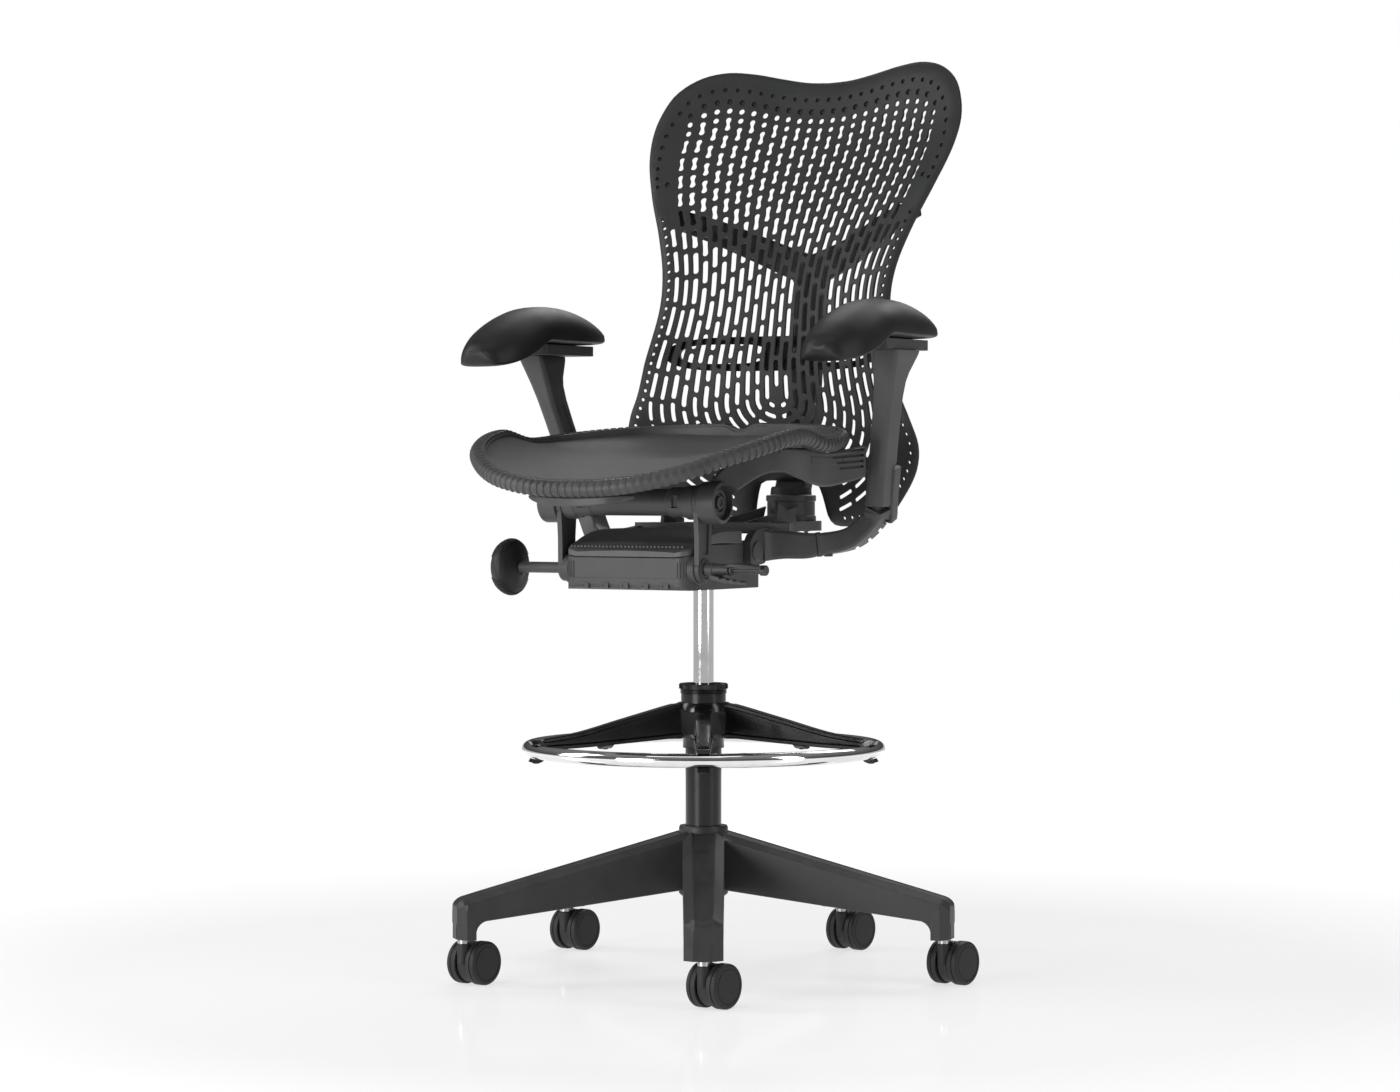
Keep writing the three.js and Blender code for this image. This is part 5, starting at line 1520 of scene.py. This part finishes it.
def make_pads():
    """The soft arm pads with a bottom lip and an inset rear patch, and the plates under them."""
    for side, sign in SIDES:
        rows, around, patch_start = 66, 56, 66
        rings = []
        for k in range(rows + 1):
            y = lerp(PAD_FRONT, PAD_BACK, (1 - math.cos(math.pi * k / rows)) / 2)
            low, top, half = pad_profile(y)
            seam = -0.7 * math.exp(-((y - patch_start) / 1.0) ** 2)
            ring = []
            for i in range(around):
                angle = 2 * math.pi * i / around
                c, s = math.cos(angle), math.sin(angle)
                x = half * math.copysign(abs(c) ** (0.62 if s < 0 else 0.86), c)
                crown = (top - low - 7) if s > 0 else 7
                z = low + 7 + crown * math.copysign(abs(s) ** (0.92 if s > 0 else 0.55), s)
                lip = -1.0 * math.exp(-((z - low - 8.5) / 1.1) ** 2)
                scale = 1 + (lip + (seam if s > 0.05 else 0)) / max(half, 20)
                ring.append((x * scale, y, z + (seam if s > 0.3 else 0)))
            rings.append(ring)
        pad = mesh_object(f"pad_skin_{side}", moved(loft(rings), pad_place(sign)))
        settle(pad, f"pad_{side}", "pad_skin", f"arm_pad_{side}", sharp=70)
        x = 268
        outline = [(x - 30, -20), (x - 29, -24), (x - 22, -28), (x + 22, -28), (x + 29, -24), (x + 30, -20),
                   (x + 30, 96), (x + 26, 100), (x - 26, 100), (x - 30, 96)]
        plate = plan_plate(outline, 863, 877)
        step = plan_plate([(x - 27, -24), (x + 27, -24), (x + 27, 94), (x - 27, 94)], 862.7, 864)
        mount = eased(built(f"pad_plate_{side}", [mirrored(plate, sign), mirrored(step, sign)]), 1.2, 3, 40)
        settle(mount, f"pad_{side}", "graphite", f"arm_mount_{side}")


# ---- Back ----
shell_line = through((615, 252), (660, 246), (730, 232), (790, 213), (850, 208), (880, 213), (975, 232),
                     (1070, 272), (1190, 337), (1260, 360), (1293, 367))
SHELL_CURVE = 0.0009
SHELL_EDGE = [(0, 684), (44, 682), (52, 664), (66, 624), (110, 621), (165, 632), (200, 662), (229, 700),
              (237, 732), (226, 775), (212, 810), (197, 880), (187, 940), (190, 985), (206, 1040),
              (230, 1100), (248, 1155), (252, 1195), (246, 1225), (230, 1256), (200, 1278), (162, 1287),
              (120, 1284), (75, 1275), (35, 1268), (0, 1266)]
half_width = through((690, 222), (732, 237), (775, 226), (812, 212), (880, 197), (940, 187), (985, 190),
                     (1040, 206), (1100, 230), (1155, 248), (1195, 252), (1260, 256))
ROLL_WIDTH, ROLL_RATE = 20, 0.017  # the outer edge curls back over this width
PAD_CENTRE = 806  # height of the point that the lower slots curl round
PATCH = (1088, 20)  # height and half height of the plain patch at each side


def shell_depth(x, z):
    """Y of the shell's middle surface."""
    return shell_line(z) - SHELL_CURVE * x * x


def shell_point(x, z, depth, thickness=4.0):
    """A point depth behind the shell's front face, square to its surface, with the edge curled back."""
    step = 1.0
    slope_x = -2 * SHELL_CURVE * x
    slope_z = (shell_depth(x, z + step) - shell_depth(x, z - step)) / (2 * step)
    normal = Vector((-slope_x, 1, -slope_z)).normalized()
    roll = 0.0
    if abs(x) > half_width(z) - 50 or z > 1220 or z < 720:
        roll = ROLL_RATE * max(ROLL_WIDTH - clearance((x, z), SHELL_OUTLINE), 0) ** 2
    return Vector((x, shell_depth(x, z) + roll, z)) + normal * (depth - thickness / 2)


def shell_outline(count):
    """The whole outline in X and Z, count points on each half."""
    half = even_points([Vector((x, 0, z)) for x, z in SHELL_EDGE], count)
    right = [(p.x, p.z) for p in half]
    return right + [(-x, z) for x, z in reversed(right[1:-1])]


def inset_outline(outline, distance):
    """The outline moved inward by distance, which may be a function of height."""
    moved_points = []
    count = len(outline)
    for i, (x, z) in enumerate(outline):
        (ax, az), (bx, bz) = outline[i - 1], outline[(i + 1) % count]
        normal = Vector((-(bz - az), bx - ax)).normalized()
        step = distance(z) if callable(distance) else distance
        moved_points.append((x + normal.x * step, z + normal.y * step))
    return moved_points


SHELL_OUTLINE = shell_outline(70)


def border_inset(z):
    """How far the border holes stand in from the outline."""
    return lerp(12, 27, clamp((z - 1120) / 110) ** 0.9)


def column_point(share, down):
    """A point on a column of slots: straight down to the curl, then round it to the middle."""
    reach = half_width(PAD_CENTRE) - 24
    if down < 0:
        z = PAD_CENTRE - down
        return Vector((share * (half_width(z) - 24 - 10 * clamp((z - 1080) / 120)), z))
    radius = abs(share) * reach
    bulge = 1 + 0.10 * math.sin(math.pi * clamp(down / max(radius * math.pi / 2, 1)))
    angle = min(down / max(radius, 1), math.pi / 2)
    return Vector((math.copysign(radius * math.cos(angle) * bulge, share),
                   PAD_CENTRE - radius * 0.94 * math.sin(angle)))


def slot_outline(share, down, length, width, waist):
    """A slot along its column: round ends and, where waist is less than 1, a narrower middle."""
    reach = max((length - width) / 2, 0.01)
    steps = 4
    left, right = [], []
    for k in range(steps + 1):
        t = lerp(-1, 1, k / steps)
        point = column_point(share, down + t * reach)
        ahead = column_point(share, down + t * reach + 0.5) - column_point(share, down + t * reach - 0.5)
        ahead = ahead.normalized() if ahead.length > 1e-6 else Vector((0, -1))
        across = Vector((-ahead.y, ahead.x))
        half = width / 2 * (1 if length < width * 1.3 else lerp(waist, 1, abs(t) ** 1.3))
        left.append(point + across * half)
        right.append(point - across * half)
        if k == 0:
            first = (point, -ahead, across)
        if k == steps:
            last = (point, ahead, across)
    outline = list(right)
    for point, way, across, sign in ((*last, -1), (*first, 1)):
        if sign < 0:
            outline += [point + way * (math.sin(a) * width / 2) - across * (math.cos(a) * width / 2)
                        for a in (math.radians(d) for d in (36, 72, 108, 144))]
            outline += left[::-1]
        else:
            outline += [point + way * (math.sin(a) * width / 2) + across * (math.cos(a) * width / 2)
                        for a in (math.radians(d) for d in (36, 72, 108, 144))]
    return outline


def hole_outline(centre, diameter, sides=12):
    """A round hole."""
    return [Vector(centre) + Vector((math.cos(a), math.sin(a))) * (diameter / 2)
            for a in (2 * math.pi * k / sides for k in range(sides))]


def area_of(outline):
    """Signed area of an outline, positive when it runs anticlockwise."""
    return sum(a.x * b.y - b.x * a.y for a, b in zip(outline, outline[1:] + outline[:1])) / 2


def clearance(point, outline):
    """Distance from a point to the nearest edge of an outline, negative outside it."""
    best, inside = 1e9, False
    px, pz = point
    for (ax, az), (bx, bz) in zip(outline, outline[1:] + outline[:1]):
        dx, dz = bx - ax, bz - az
        t = clamp(((px - ax) * dx + (pz - az) * dz) / max(dx * dx + dz * dz, 1e-9))
        best = min(best, math.hypot(px - ax - t * dx, pz - az - t * dz))
        if (az > pz) != (bz > pz) and px < ax + (pz - az) / (bz - az) * dx:
            inside = not inside
    return best if inside else -best


def in_patch(point, outline):
    """True on the plain patches at the two sides."""
    height, reach = PATCH
    return abs(point[1] - height) < reach and clearance(point, outline) < 33 - 0.2 * abs(point[1] - height)


def border_holes(outline, back):
    """Round holes in a row inside the outline."""
    row = inset_outline(outline, border_inset)
    corners = [Vector((x, 0, z)) for x, z in row + row[:1]]
    fine = even_points(corners, 3000)
    found, run = [], 0.0
    for before, point in zip(fine, fine[1:]):
        run += (point - before).length
        if run < back["border_pitch"] * lerp(0.72, 1.0, clamp((point.z - 1110) / 70)):
            continue
        run = 0.0
        spot = (point.x, point.z)
        if point.z < 700 and abs(point.x) < 90 or in_patch(spot, outline):
            continue
        size = back["border_hole"] * lerp(0.76, 1.0, clamp((point.z - 1050) / 120))
        found.append((hole_outline(spot, size, 12), point.z > 1112))
    return found


def column_slots(outline, back):
    """Staggered slots down every column: round, then waisted, then long, then curled."""
    found = []
    columns = back["column_count"]
    for k in range(-columns, columns + 1):
        share = k / columns
        top = PAD_CENTRE - 1300
        while clearance(column_point(share, top), outline) < border_inset(
                column_point(share, top).y) + 13.5:
            top += 1.0
            if top > -120:
                break
        down = top
        index = 0
        edge_narrow = 0.8 if abs(k) > columns - 2 else 1.0
        radius = abs(share) * (half_width(PAD_CENTRE) - 24)
        end = radius * math.pi / 2 - 4.2 if k else -10
        while down < end:
            z = column_point(share, down).y
            upper = clamp((z - 960) / 150)
            if index == 0 or (index == 1 and z > 1150) or (index == 2 and k % 2 and z > 1170):
                length = back["slot_width"] * (0.92 if index == 0 else 1.0)
                step = length + 5.5
            else:
                long_slot = lerp(back["middle_slot"], back["upper_slot"], upper ** 0.75)
                low_slot = lerp(24, 1.0 * back["middle_slot"], clamp((z - 760) / 130))
                length = min(long_slot, low_slot) if z < 900 else long_slot
                if index == (2 if z > 1150 else 1) and k % 2:
                    length *= 0.55
                step = length + back["bridge"]
            if down + length > end and k:
                length = end - down
                if length < back["slot_width"] * 0.8:
                    break
            waist = lerp(1.0, 0.56, clamp((z - 1010) / 110))
            middle = down + length / 2
            width = back["slot_width"] * edge_narrow * lerp(0.86, 1.0, clamp((z - 950) / 150))
            if down > 0:
                width *= 0.86
            spot = column_point(share, middle)
            ends = [column_point(share, middle + s * length / 2) for s in (-1, 0, 1)]
            room = min(clearance(p, outline) for p in ends)
            notch = abs(spot.x) < 62 and spot.y < 700
            if room > border_inset(spot.y) + 7 and not notch and not any(in_patch(p, outline) for p in ends):
                blind = z > 1112 and (index == 0 or abs(k) == columns)
                found.append((slot_outline(share, middle, max(length, width), width, waist), blind))
            down += step
            index += 1
    return found


def apart(outlines, gap):
    """The outlines that keep clear of those before them."""
    kept, centres = [], []
    for outline, blind in outlines:
        middle = sum(outline, Vector((0, 0))) / len(outline)
        reach = max((p - middle).length for p in outline)
        near = [other for other, centre, size in centres if (centre - middle).length < reach + size + gap]
        if all(min((p - q).length for p in outline for q in other) > gap for other in near):
            kept.append((outline, blind))
            centres.append((outline, middle, reach))
    return kept


def grown(outline, distance):
    """A hole's outline moved outward by distance."""
    points = []
    for i, p in enumerate(outline):
        way = outline[(i + 1) % len(outline)] - outline[i - 1]
        points.append(p + Vector((way.y, -way.x)).normalized() * distance)
    return points


def flat_sheet(outline, holes, fill):
    """Triangles over an outline less its holes, and the point numbers of each rim."""
    points, faces = [], []
    for ring in [outline] + holes:
        start = len(points)
        points += [Vector(p) for p in ring]
        faces.append(list(range(start, len(points))))
    rim_count = len(points)
    verts, _, triangles, vert_from, _, face_from = delaunay_2d_cdt(points + fill, [], faces, 1, 1e-5)
    kept = [tuple(tri) for tri, source in zip(triangles, face_from) if source == [0]]
    ids = {source: new for new, old in enumerate(vert_from) for source in old if source < rim_count}
    return verts, kept, [[ids[i] for i in face] for face in faces]


def shell_layout(outline, holes):
    """The perforated sheet in X and Z, filled with an even field of points between its holes."""
    centres = [sum((Vector(p) for p in ring), Vector((0, 0))) / len(ring) for ring in holes]
    reaches = [max((Vector(p) - c).length for p in ring) for ring, c in zip(holes, centres)]
    step, fill = 9, []
    for i in range(-30, 31):
        for j in range(68, 144):
            spot = Vector((i * step + (j % 2) * step / 2, j * step))
            if any((spot - c).length < r + 2.5 for c, r in zip(centres, reaches)):
                continue
            if clearance(spot, outline) > 4:
                fill.append(spot)
    return flat_sheet(outline, holes, fill)


def make_back_shell():
    """The moulded back: a perforated sheet on the shell's surface, with eased holes and a curled edge."""
    back = sizes("chair_back")
    thick, ease = back["thickness"], 0.8
    edge = shell_outline(120)
    holes = apart(border_holes(edge, back) + column_slots(edge, back), 2 * ease + 0.9)
    holes = [(ring if area_of(ring) > 0 else ring[::-1], blind) for ring, blind in holes]
    wide = [grown(ring, ease) for ring, _ in holes]
    through_holes = [i for i, (_, blind) in enumerate(holes) if not blind]
    flat_edge = inset_outline(edge, 5.0)
    points, faces = [], []

    def add_sheet(layout, depth, flip):
        """One face of the sheet; gives the point numbers of its outer loop and of each hole."""
        verts, triangles, loops = layout
        start = len(points)
        points.extend(shell_point(v.x, v.y, depth, thick) for v in verts)
        for tri in triangles:
            faces.append(tuple(i + start for i in (tri[::-1] if flip else tri)))
        return [[i + start for i in loop] for loop in loops]

    def add_row(ring, depth):
        """A row of points round a hole or the outer edge."""
        start = len(points)
        points.extend(shell_point(x, z, depth, thick) for x, z in ring)
        return list(range(start, len(points)))

    def wall(rows):
        """Faces between rows of points from the front row to the rear row."""
        for a, b in zip(rows, rows[1:]):
            for k in range(len(a)):
                n = (k + 1) % len(a)
                faces.append((a[k], b[k], b[n], a[n]))

    front = add_sheet(shell_layout(flat_edge, wide), 0.0, False)
    rear = add_sheet(shell_layout(flat_edge, [wide[i] for i in through_holes]), thick, True)
    for i, (ring, blind) in enumerate(holes):
        rows = [front[i + 1], add_row(grown(ring, ease * 0.3), ease * 0.35), add_row(ring, ease)]
        if blind:
            rows.append(add_row(ring, thick - 0.9))
            faces.append(tuple(rows[-1][::-1]))
        else:
            rows += [add_row(ring, thick - ease), rear[through_holes.index(i) + 1]]
        wall(rows)
    rows = [front[0]]
    for inset, depth in ((4.4, 0.9), (1.6, 1.0), (0.4, 1.7), (0.0, 2.6), (0.3, 3.6), (1.4, 4.3),
                         (3.6, thick + 0.4)):
        rows.append(add_row(inset_outline(edge, inset), depth))
    wall(rows + [rear[0]])
    shell = mesh_object("back_skin", outward((points, faces)))
    settle(shell, "back", "back_plastic", "back_shell", sharp=46)


def make_spine():
    """The forked spine that rises from the yoke's drum to the shell's two sides."""
    def behind(x, z, off):
        """A point off behind the shell's middle surface."""
        return Vector((x, shell_depth(x, z) + off, z))

    stem = bar([(0, 258, 672), (0, 276, 720), (0, 292, 800), (0, 304, 880), (0, 314, 950), (0, 318, 1010)],
               lambda t: (lerp(50, 44, t), lerp(26, 14, t), 5), 40, (1, 0, 0), 4)
    groove = bar([(0, 262, 700), (0, 266, 740), (0, 281, 800), (0, 295, 880), (0, 306, 950), (0, 310, 985)],
                 lambda t: (14, 5, 2), 30, (1, 0, 0), 2)
    parts = [stem, turned([(0, 664.4), (30, 664.4), (29, 674), (27, 676.4), (0, 676.4)], 56,
                          at=(0, DRUM_Y, 0))]
    for _, sign in SIDES:
        path = [Vector((0, 316, 988)), Vector((60, 312, 1012)), behind(130, 1044, 36), behind(178, 1062, 19),
                behind(206, 1070, 14)]
        parts.append(mirrored(bar(path, lambda t: (lerp(46, 26, t), lerp(14, 9, t), 4), 34, (0, 0, 1), 4),
                              sign))
        gusset = bar([Vector((14, 315, 940)), Vector((24, 314, 985)), Vector((64, 312, 1010))],
                     lambda t: (lerp(16, 24, t), 11, 4), 18, (1, 0, 0), 4)
        parts.append(mirrored(gusset, sign))
    spine = built("back_fork", parts, [groove])
    feet = []
    for _, sign in SIDES:
        for dx in (-8, 8):
            spot = behind(sign * (198 + dx), 1068, 9.0)
            feet.append(frame_at(spot, (1, 0, 0), (0, 0, 1)))
    stud = turned([(0, -3), (4.2, -3), (4.2, 3), (0, 3)], 16)
    studs = repeated("back_fork_studs", moved(stud, Matrix.Rotation(math.pi / 2, 4, "X")), feet,
                     "back_plastic")
    settle(gathered("back_fork", eased(spine, 0.8, 2, 44), studs), "back", "back_plastic", "back_spine")


def oval(count, centre, halves, powers):
    """A closed ring of points: an ellipse squared off by its two powers."""
    ring = []
    for k in range(count):
        angle = 2 * math.pi * k / count
        c, s = math.cos(angle), math.sin(angle)
        ring.append(Vector((centre[0] + halves[0] * math.copysign(abs(c) ** powers[0], c),
                            centre[1] + halves[1] * math.copysign(abs(s) ** powers[1], s))))
    return ring


def make_lumbar():
    """The lumbar band: a looped strap with two long openings, behind the shell."""
    low, high, half, off, thick = 842, 892, 174, 9, 4.0
    middle_z = (low + high) / 2
    outline = oval(60, (0, middle_z), (half, (high - low) / 2), (0.42, 0.9))
    holes = [oval(40, (sign * 87, middle_z), (66, 14), (0.5, 0.9)) for sign in (1, -1)]
    fill = [Vector((x, z)) for x in range(-160, 161, 8) for z in (846.5, 887.5)]
    verts, kept, loops = flat_sheet(outline, holes, fill)
    solid_points, solid_faces = [], []

    def lift(x, z, back):
        """A point of the band at a depth behind its front face."""
        return Vector((x, shell_depth(x, z) + off - thick / 2 + back, z))

    for back, flip in ((0.0, False), (thick, True)):
        start = len(solid_points)
        solid_points += [lift(v.x, v.y, back) for v in verts]
        solid_faces += [tuple(i + start for i in (tri[::-1] if flip else tri)) for tri in kept]
    total = len(verts)
    for loop in loops:
        for k in range(len(loop)):
            n = (k + 1) % len(loop)
            solid_faces.append((loop[k], loop[k] + total, loop[n] + total, loop[n]))
    band = eased(mesh_object("lumbar_loop", outward((solid_points, solid_faces))), 0.8, 2, 50)
    settle(band, "lumbar", "back_plastic", "lumbar_band", sharp=46)


# ---- Stage ----
VIEW_AZIMUTH = math.radians(30)
VIEW_DISTANCE, VIEW_HEIGHT = 5.3165, 0.70
VIEW_PITCH, VIEW_YAW = math.radians(1.13), math.radians(0.052)


def make_camera():
    """A long lens at seat height, a little to the sitter's left of the front."""
    data = bpy.data.cameras.new("camera")
    data.lens, data.sensor_width, data.clip_end = 98.9, 36.0, 60.0
    data.dof.use_dof = False
    camera = bpy.data.objects.new("camera", data)
    camera.location = SWIVEL + Vector((VIEW_DISTANCE * math.sin(VIEW_AZIMUTH),
                                       -VIEW_DISTANCE * math.cos(VIEW_AZIMUTH), VIEW_HEIGHT))
    camera.rotation_euler = (math.pi / 2 - VIEW_PITCH, 0, VIEW_AZIMUTH + VIEW_YAW)
    bpy.context.scene.collection.objects.link(camera)
    bpy.context.scene.camera = camera


def make_floor():
    """A wide pale glossy floor that glows more towards its edge, where it meets the surround."""
    mesh = bpy.data.meshes.new("floor")
    reach, sides = 3.6, 96
    angles = [2 * math.pi * k / sides for k in range(sides)]
    rim = [(reach * math.cos(angle), reach * math.sin(angle), 0) for angle in angles]
    mesh.from_pydata(rim, [], [tuple(range(sides))])
    floor = bpy.data.objects.new("floor", mesh)
    bpy.context.scene.collection.objects.link(floor)
    made, tree, shader = blank_material("floor_paint")
    tone = noise(tree, tree.nodes["Coordinates"].outputs["Object"], 1.5)
    tree.links.new(blended(tree, tone, (0.48, 0.48, 0.48, 1), (0.52, 0.52, 0.52, 1)),
                   shader.inputs["Base Color"])
    shader.inputs["Roughness"].default_value = 0.09
    shader.inputs["Specular IOR Level"].default_value = 0.5
    shader.inputs["Emission Color"].default_value = (1, 1, 1, 1)
    distance = tree.nodes.new("ShaderNodeVectorMath")
    distance.operation = "LENGTH"
    tree.links.new(tree.nodes["Coordinates"].outputs["Object"], distance.inputs[0])
    tree.links.new(ranged(tree, distance.outputs["Value"], 0.9, 2.6, 0.64, 1.0),
                   shader.inputs["Emission Strength"])
    mesh.materials.append(made)


def make_lights():
    """Soft studio boxes, and a surround that the camera sees as plain white."""
    # name, place and size in metres, power in watts
    boxes = (("key_box", (-3.0, -1.6, 2.0), (1.2, 2.6), 62), ("side_box", (3.4, -0.2, 1.6), (0.9, 2.6), 34),
             ("rear_box", (-0.4, 2.6, 3.0), (3.0, 1.4), 60), ("top_box", (0.2, -1.0, 3.6), (2.2, 1.6), 15),
             ("front_box", (-0.9, -3.8, 0.9), (1.6, 1.2), 84))
    for name, place, size, power in boxes:
        data = bpy.data.lights.new(name, "AREA")
        data.shape, data.size, data.size_y, data.energy = "RECTANGLE", *size, power
        light = bpy.data.objects.new(name, data)
        light.location = Vector(place)
        aim = Vector((0, 0, 0.75)) - Vector(place)
        light.rotation_euler = aim.to_track_quat("-Z", "Y").to_euler()
        bpy.context.scene.collection.objects.link(light)
    world = bpy.data.worlds.new("surround")
    world.use_nodes = True
    tree = world.node_tree
    backdrop, room = tree.nodes["Background"], tree.nodes.new("ShaderNodeBackground")
    backdrop.inputs["Color"].default_value, backdrop.inputs["Strength"].default_value = (1, 1, 1, 1), 1.0
    rays, mixed = tree.nodes.new("ShaderNodeLightPath"), tree.nodes.new("ShaderNodeMixShader")
    split = tree.nodes.new("ShaderNodeSeparateXYZ")
    tree.links.new(tree.nodes.new("ShaderNodeTexCoord").outputs["Generated"], split.inputs[0])
    glow = tree.nodes.new("ShaderNodeMath")  # a bright band at the horizon, for the floor to mirror
    tree.links.new(ranged(tree, split.outputs["Z"], 0.01, 0.06, 0.62, 0.0), glow.inputs[0])
    tree.links.new(ranged(tree, split.outputs["Z"], 0.0, 0.9, 0.04, 0.34), glow.inputs[1])
    tree.links.new(glow.outputs[0], room.inputs["Strength"])
    tree.links.new(rays.outputs["Is Camera Ray"], mixed.inputs[0])
    tree.links.new(room.outputs[0], mixed.inputs[1])
    tree.links.new(backdrop.outputs[0], mixed.inputs[2])
    tree.links.new(mixed.outputs[0], tree.nodes["World Output"].inputs["Surface"])
    bpy.context.scene.world = world
    bpy.context.scene.view_settings.view_transform = "Standard"


# ---- Operators, panel and registration ----
class CHAIR_OT_stage(bpy.types.Operator):
    """Make the camera, floor and lights"""

    bl_idname = "chair.stage"
    bl_label = "Stage"
    bl_options = {"REGISTER", "UNDO"}

    def execute(self, context):
        make_camera()
        make_floor()
        make_lights()
        return {"FINISHED"}


class CHAIR_OT_base(bpy.types.Operator):
    """Make the five-leg base"""

    bl_idname = "chair.base"
    bl_label = "Base"
    bl_options = {"REGISTER", "UNDO"}

    def execute(self, context):
        make_star_base()
        return {"FINISHED"}


class CHAIR_OT_casters(bpy.types.Operator):
    """Make the five twin-wheel casters"""

    bl_idname = "chair.casters"
    bl_label = "Casters"
    bl_options = {"REGISTER", "UNDO"}

    def execute(self, context):
        make_casters()
        return {"FINISHED"}


class CHAIR_OT_lift(bpy.types.Operator):
    """Make the column, gas rod and release pin"""

    bl_idname = "chair.lift"
    bl_label = "Lift"
    bl_options = {"REGISTER", "UNDO"}

    def execute(self, context):
        make_lift()
        return {"FINISHED"}


class CHAIR_OT_foot_ring(bpy.types.Operator):
    """Make the ring, its hub and its collar"""

    bl_idname = "chair.foot_ring"
    bl_label = "Foot ring"
    bl_options = {"REGISTER", "UNDO"}

    def execute(self, context):
        make_foot_ring()
        return {"FINISHED"}


class CHAIR_OT_housing(bpy.types.Operator):
    """Make the housing and its cover"""

    bl_idname = "chair.housing"
    bl_label = "Tilt housing"
    bl_options = {"REGISTER", "UNDO"}

    def execute(self, context):
        make_housing()
        make_cover()
        return {"FINISHED"}


class CHAIR_OT_controls(bpy.types.Operator):
    """Make the knob, shaft and levers"""

    bl_idname = "chair.controls"
    bl_label = "Controls"
    bl_options = {"REGISTER", "UNDO"}

    def execute(self, context):
        make_knob()
        make_levers()
        return {"FINISHED"}


class CHAIR_OT_links(bpy.types.Operator):
    """Make the front links and cross tube"""

    bl_idname = "chair.links"
    bl_label = "Links"
    bl_options = {"REGISTER", "UNDO"}

    def execute(self, context):
        make_links()
        make_cross_tube()
        return {"FINISHED"}


class CHAIR_OT_rails(bpy.types.Operator):
    """Make the sculpted seat rails"""

    bl_idname = "chair.rails"
    bl_label = "Seat rails"
    bl_options = {"REGISTER", "UNDO"}

    def execute(self, context):
        make_rails()
        return {"FINISHED"}


class CHAIR_OT_seat(bpy.types.Operator):
    """Make the rim, weave and depth handle"""

    bl_idname = "chair.seat"
    bl_label = "Seat"
    bl_options = {"REGISTER", "UNDO"}

    def execute(self, context):
        make_seat_frame()
        make_seat_mesh()
        make_seat_paddle()
        return {"FINISHED"}


class CHAIR_OT_yoke(bpy.types.Operator):
    """Make the yoke and arm brackets"""

    bl_idname = "chair.yoke"
    bl_label = "Back carrier"
    bl_options = {"REGISTER", "UNDO"}

    def execute(self, context):
        make_yoke()
        make_brackets()
        return {"FINISHED"}


class CHAIR_OT_arms(bpy.types.Operator):
    """Make the uprights, lock flaps, plates and pads"""

    bl_idname = "chair.arms"
    bl_label = "Arms"
    bl_options = {"REGISTER", "UNDO"}

    def execute(self, context):
        make_uprights()
        make_pads()
        return {"FINISHED"}


class CHAIR_OT_shell(bpy.types.Operator):
    """Make the perforated back"""

    bl_idname = "chair.shell"
    bl_label = "Back shell"
    bl_options = {"REGISTER", "UNDO"}

    def execute(self, context):
        make_back_shell()
        return {"FINISHED"}


class CHAIR_OT_spine(bpy.types.Operator):
    """Make the forked spine and lumbar band"""

    bl_idname = "chair.spine"
    bl_label = "Back supports"
    bl_options = {"REGISTER", "UNDO"}

    def execute(self, context):
        make_spine()
        make_lumbar()
        return {"FINISHED"}


OPERATORS = (CHAIR_OT_stage, CHAIR_OT_base, CHAIR_OT_casters, CHAIR_OT_lift, CHAIR_OT_foot_ring,
             CHAIR_OT_housing, CHAIR_OT_controls, CHAIR_OT_links, CHAIR_OT_rails, CHAIR_OT_seat,
             CHAIR_OT_yoke, CHAIR_OT_arms, CHAIR_OT_shell, CHAIR_OT_spine)


class CHAIR_PT_panel(bpy.types.Panel):
    """Sizes, finishes and piece operators of the chair."""

    bl_idname = "CHAIR_PT_panel"
    bl_label = "Drafting chair"
    bl_space_type = "VIEW_3D"
    bl_region_type = "UI"
    bl_category = "Chair"

    def draw(self, context):
        """Lists every operator, then the values a user would change."""
        for made in OPERATORS:
            self.layout.operator(made.bl_idname)
        for group, kind in SIZE_GROUPS:
            held = getattr(context.scene, group)
            column = self.layout.column(heading=group)
            for key in kind.__annotations__:
                column.prop(held, key)


CLASSES = (*(kind for _, kind in SIZE_GROUPS), *OPERATORS, CHAIR_PT_panel)


def register():
    """Adds the classes and the scene's settings."""
    for kind in CLASSES:
        bpy.utils.register_class(kind)
    for name, kind in SIZE_GROUPS:
        setattr(bpy.types.Scene, name, PointerProperty(type=kind))


def unregister():
    """Takes the classes and settings away."""
    for name, _ in SIZE_GROUPS:
        delattr(bpy.types.Scene, name)
    for kind in reversed(CLASSES):
        bpy.utils.unregister_class(kind)


def main():
    """Builds the whole chair."""
    register()
    for made in OPERATORS:
        group, name = made.bl_idname.split(".")
        getattr(getattr(bpy.ops, group), name)()


if __name__ == "__main__":
    main()
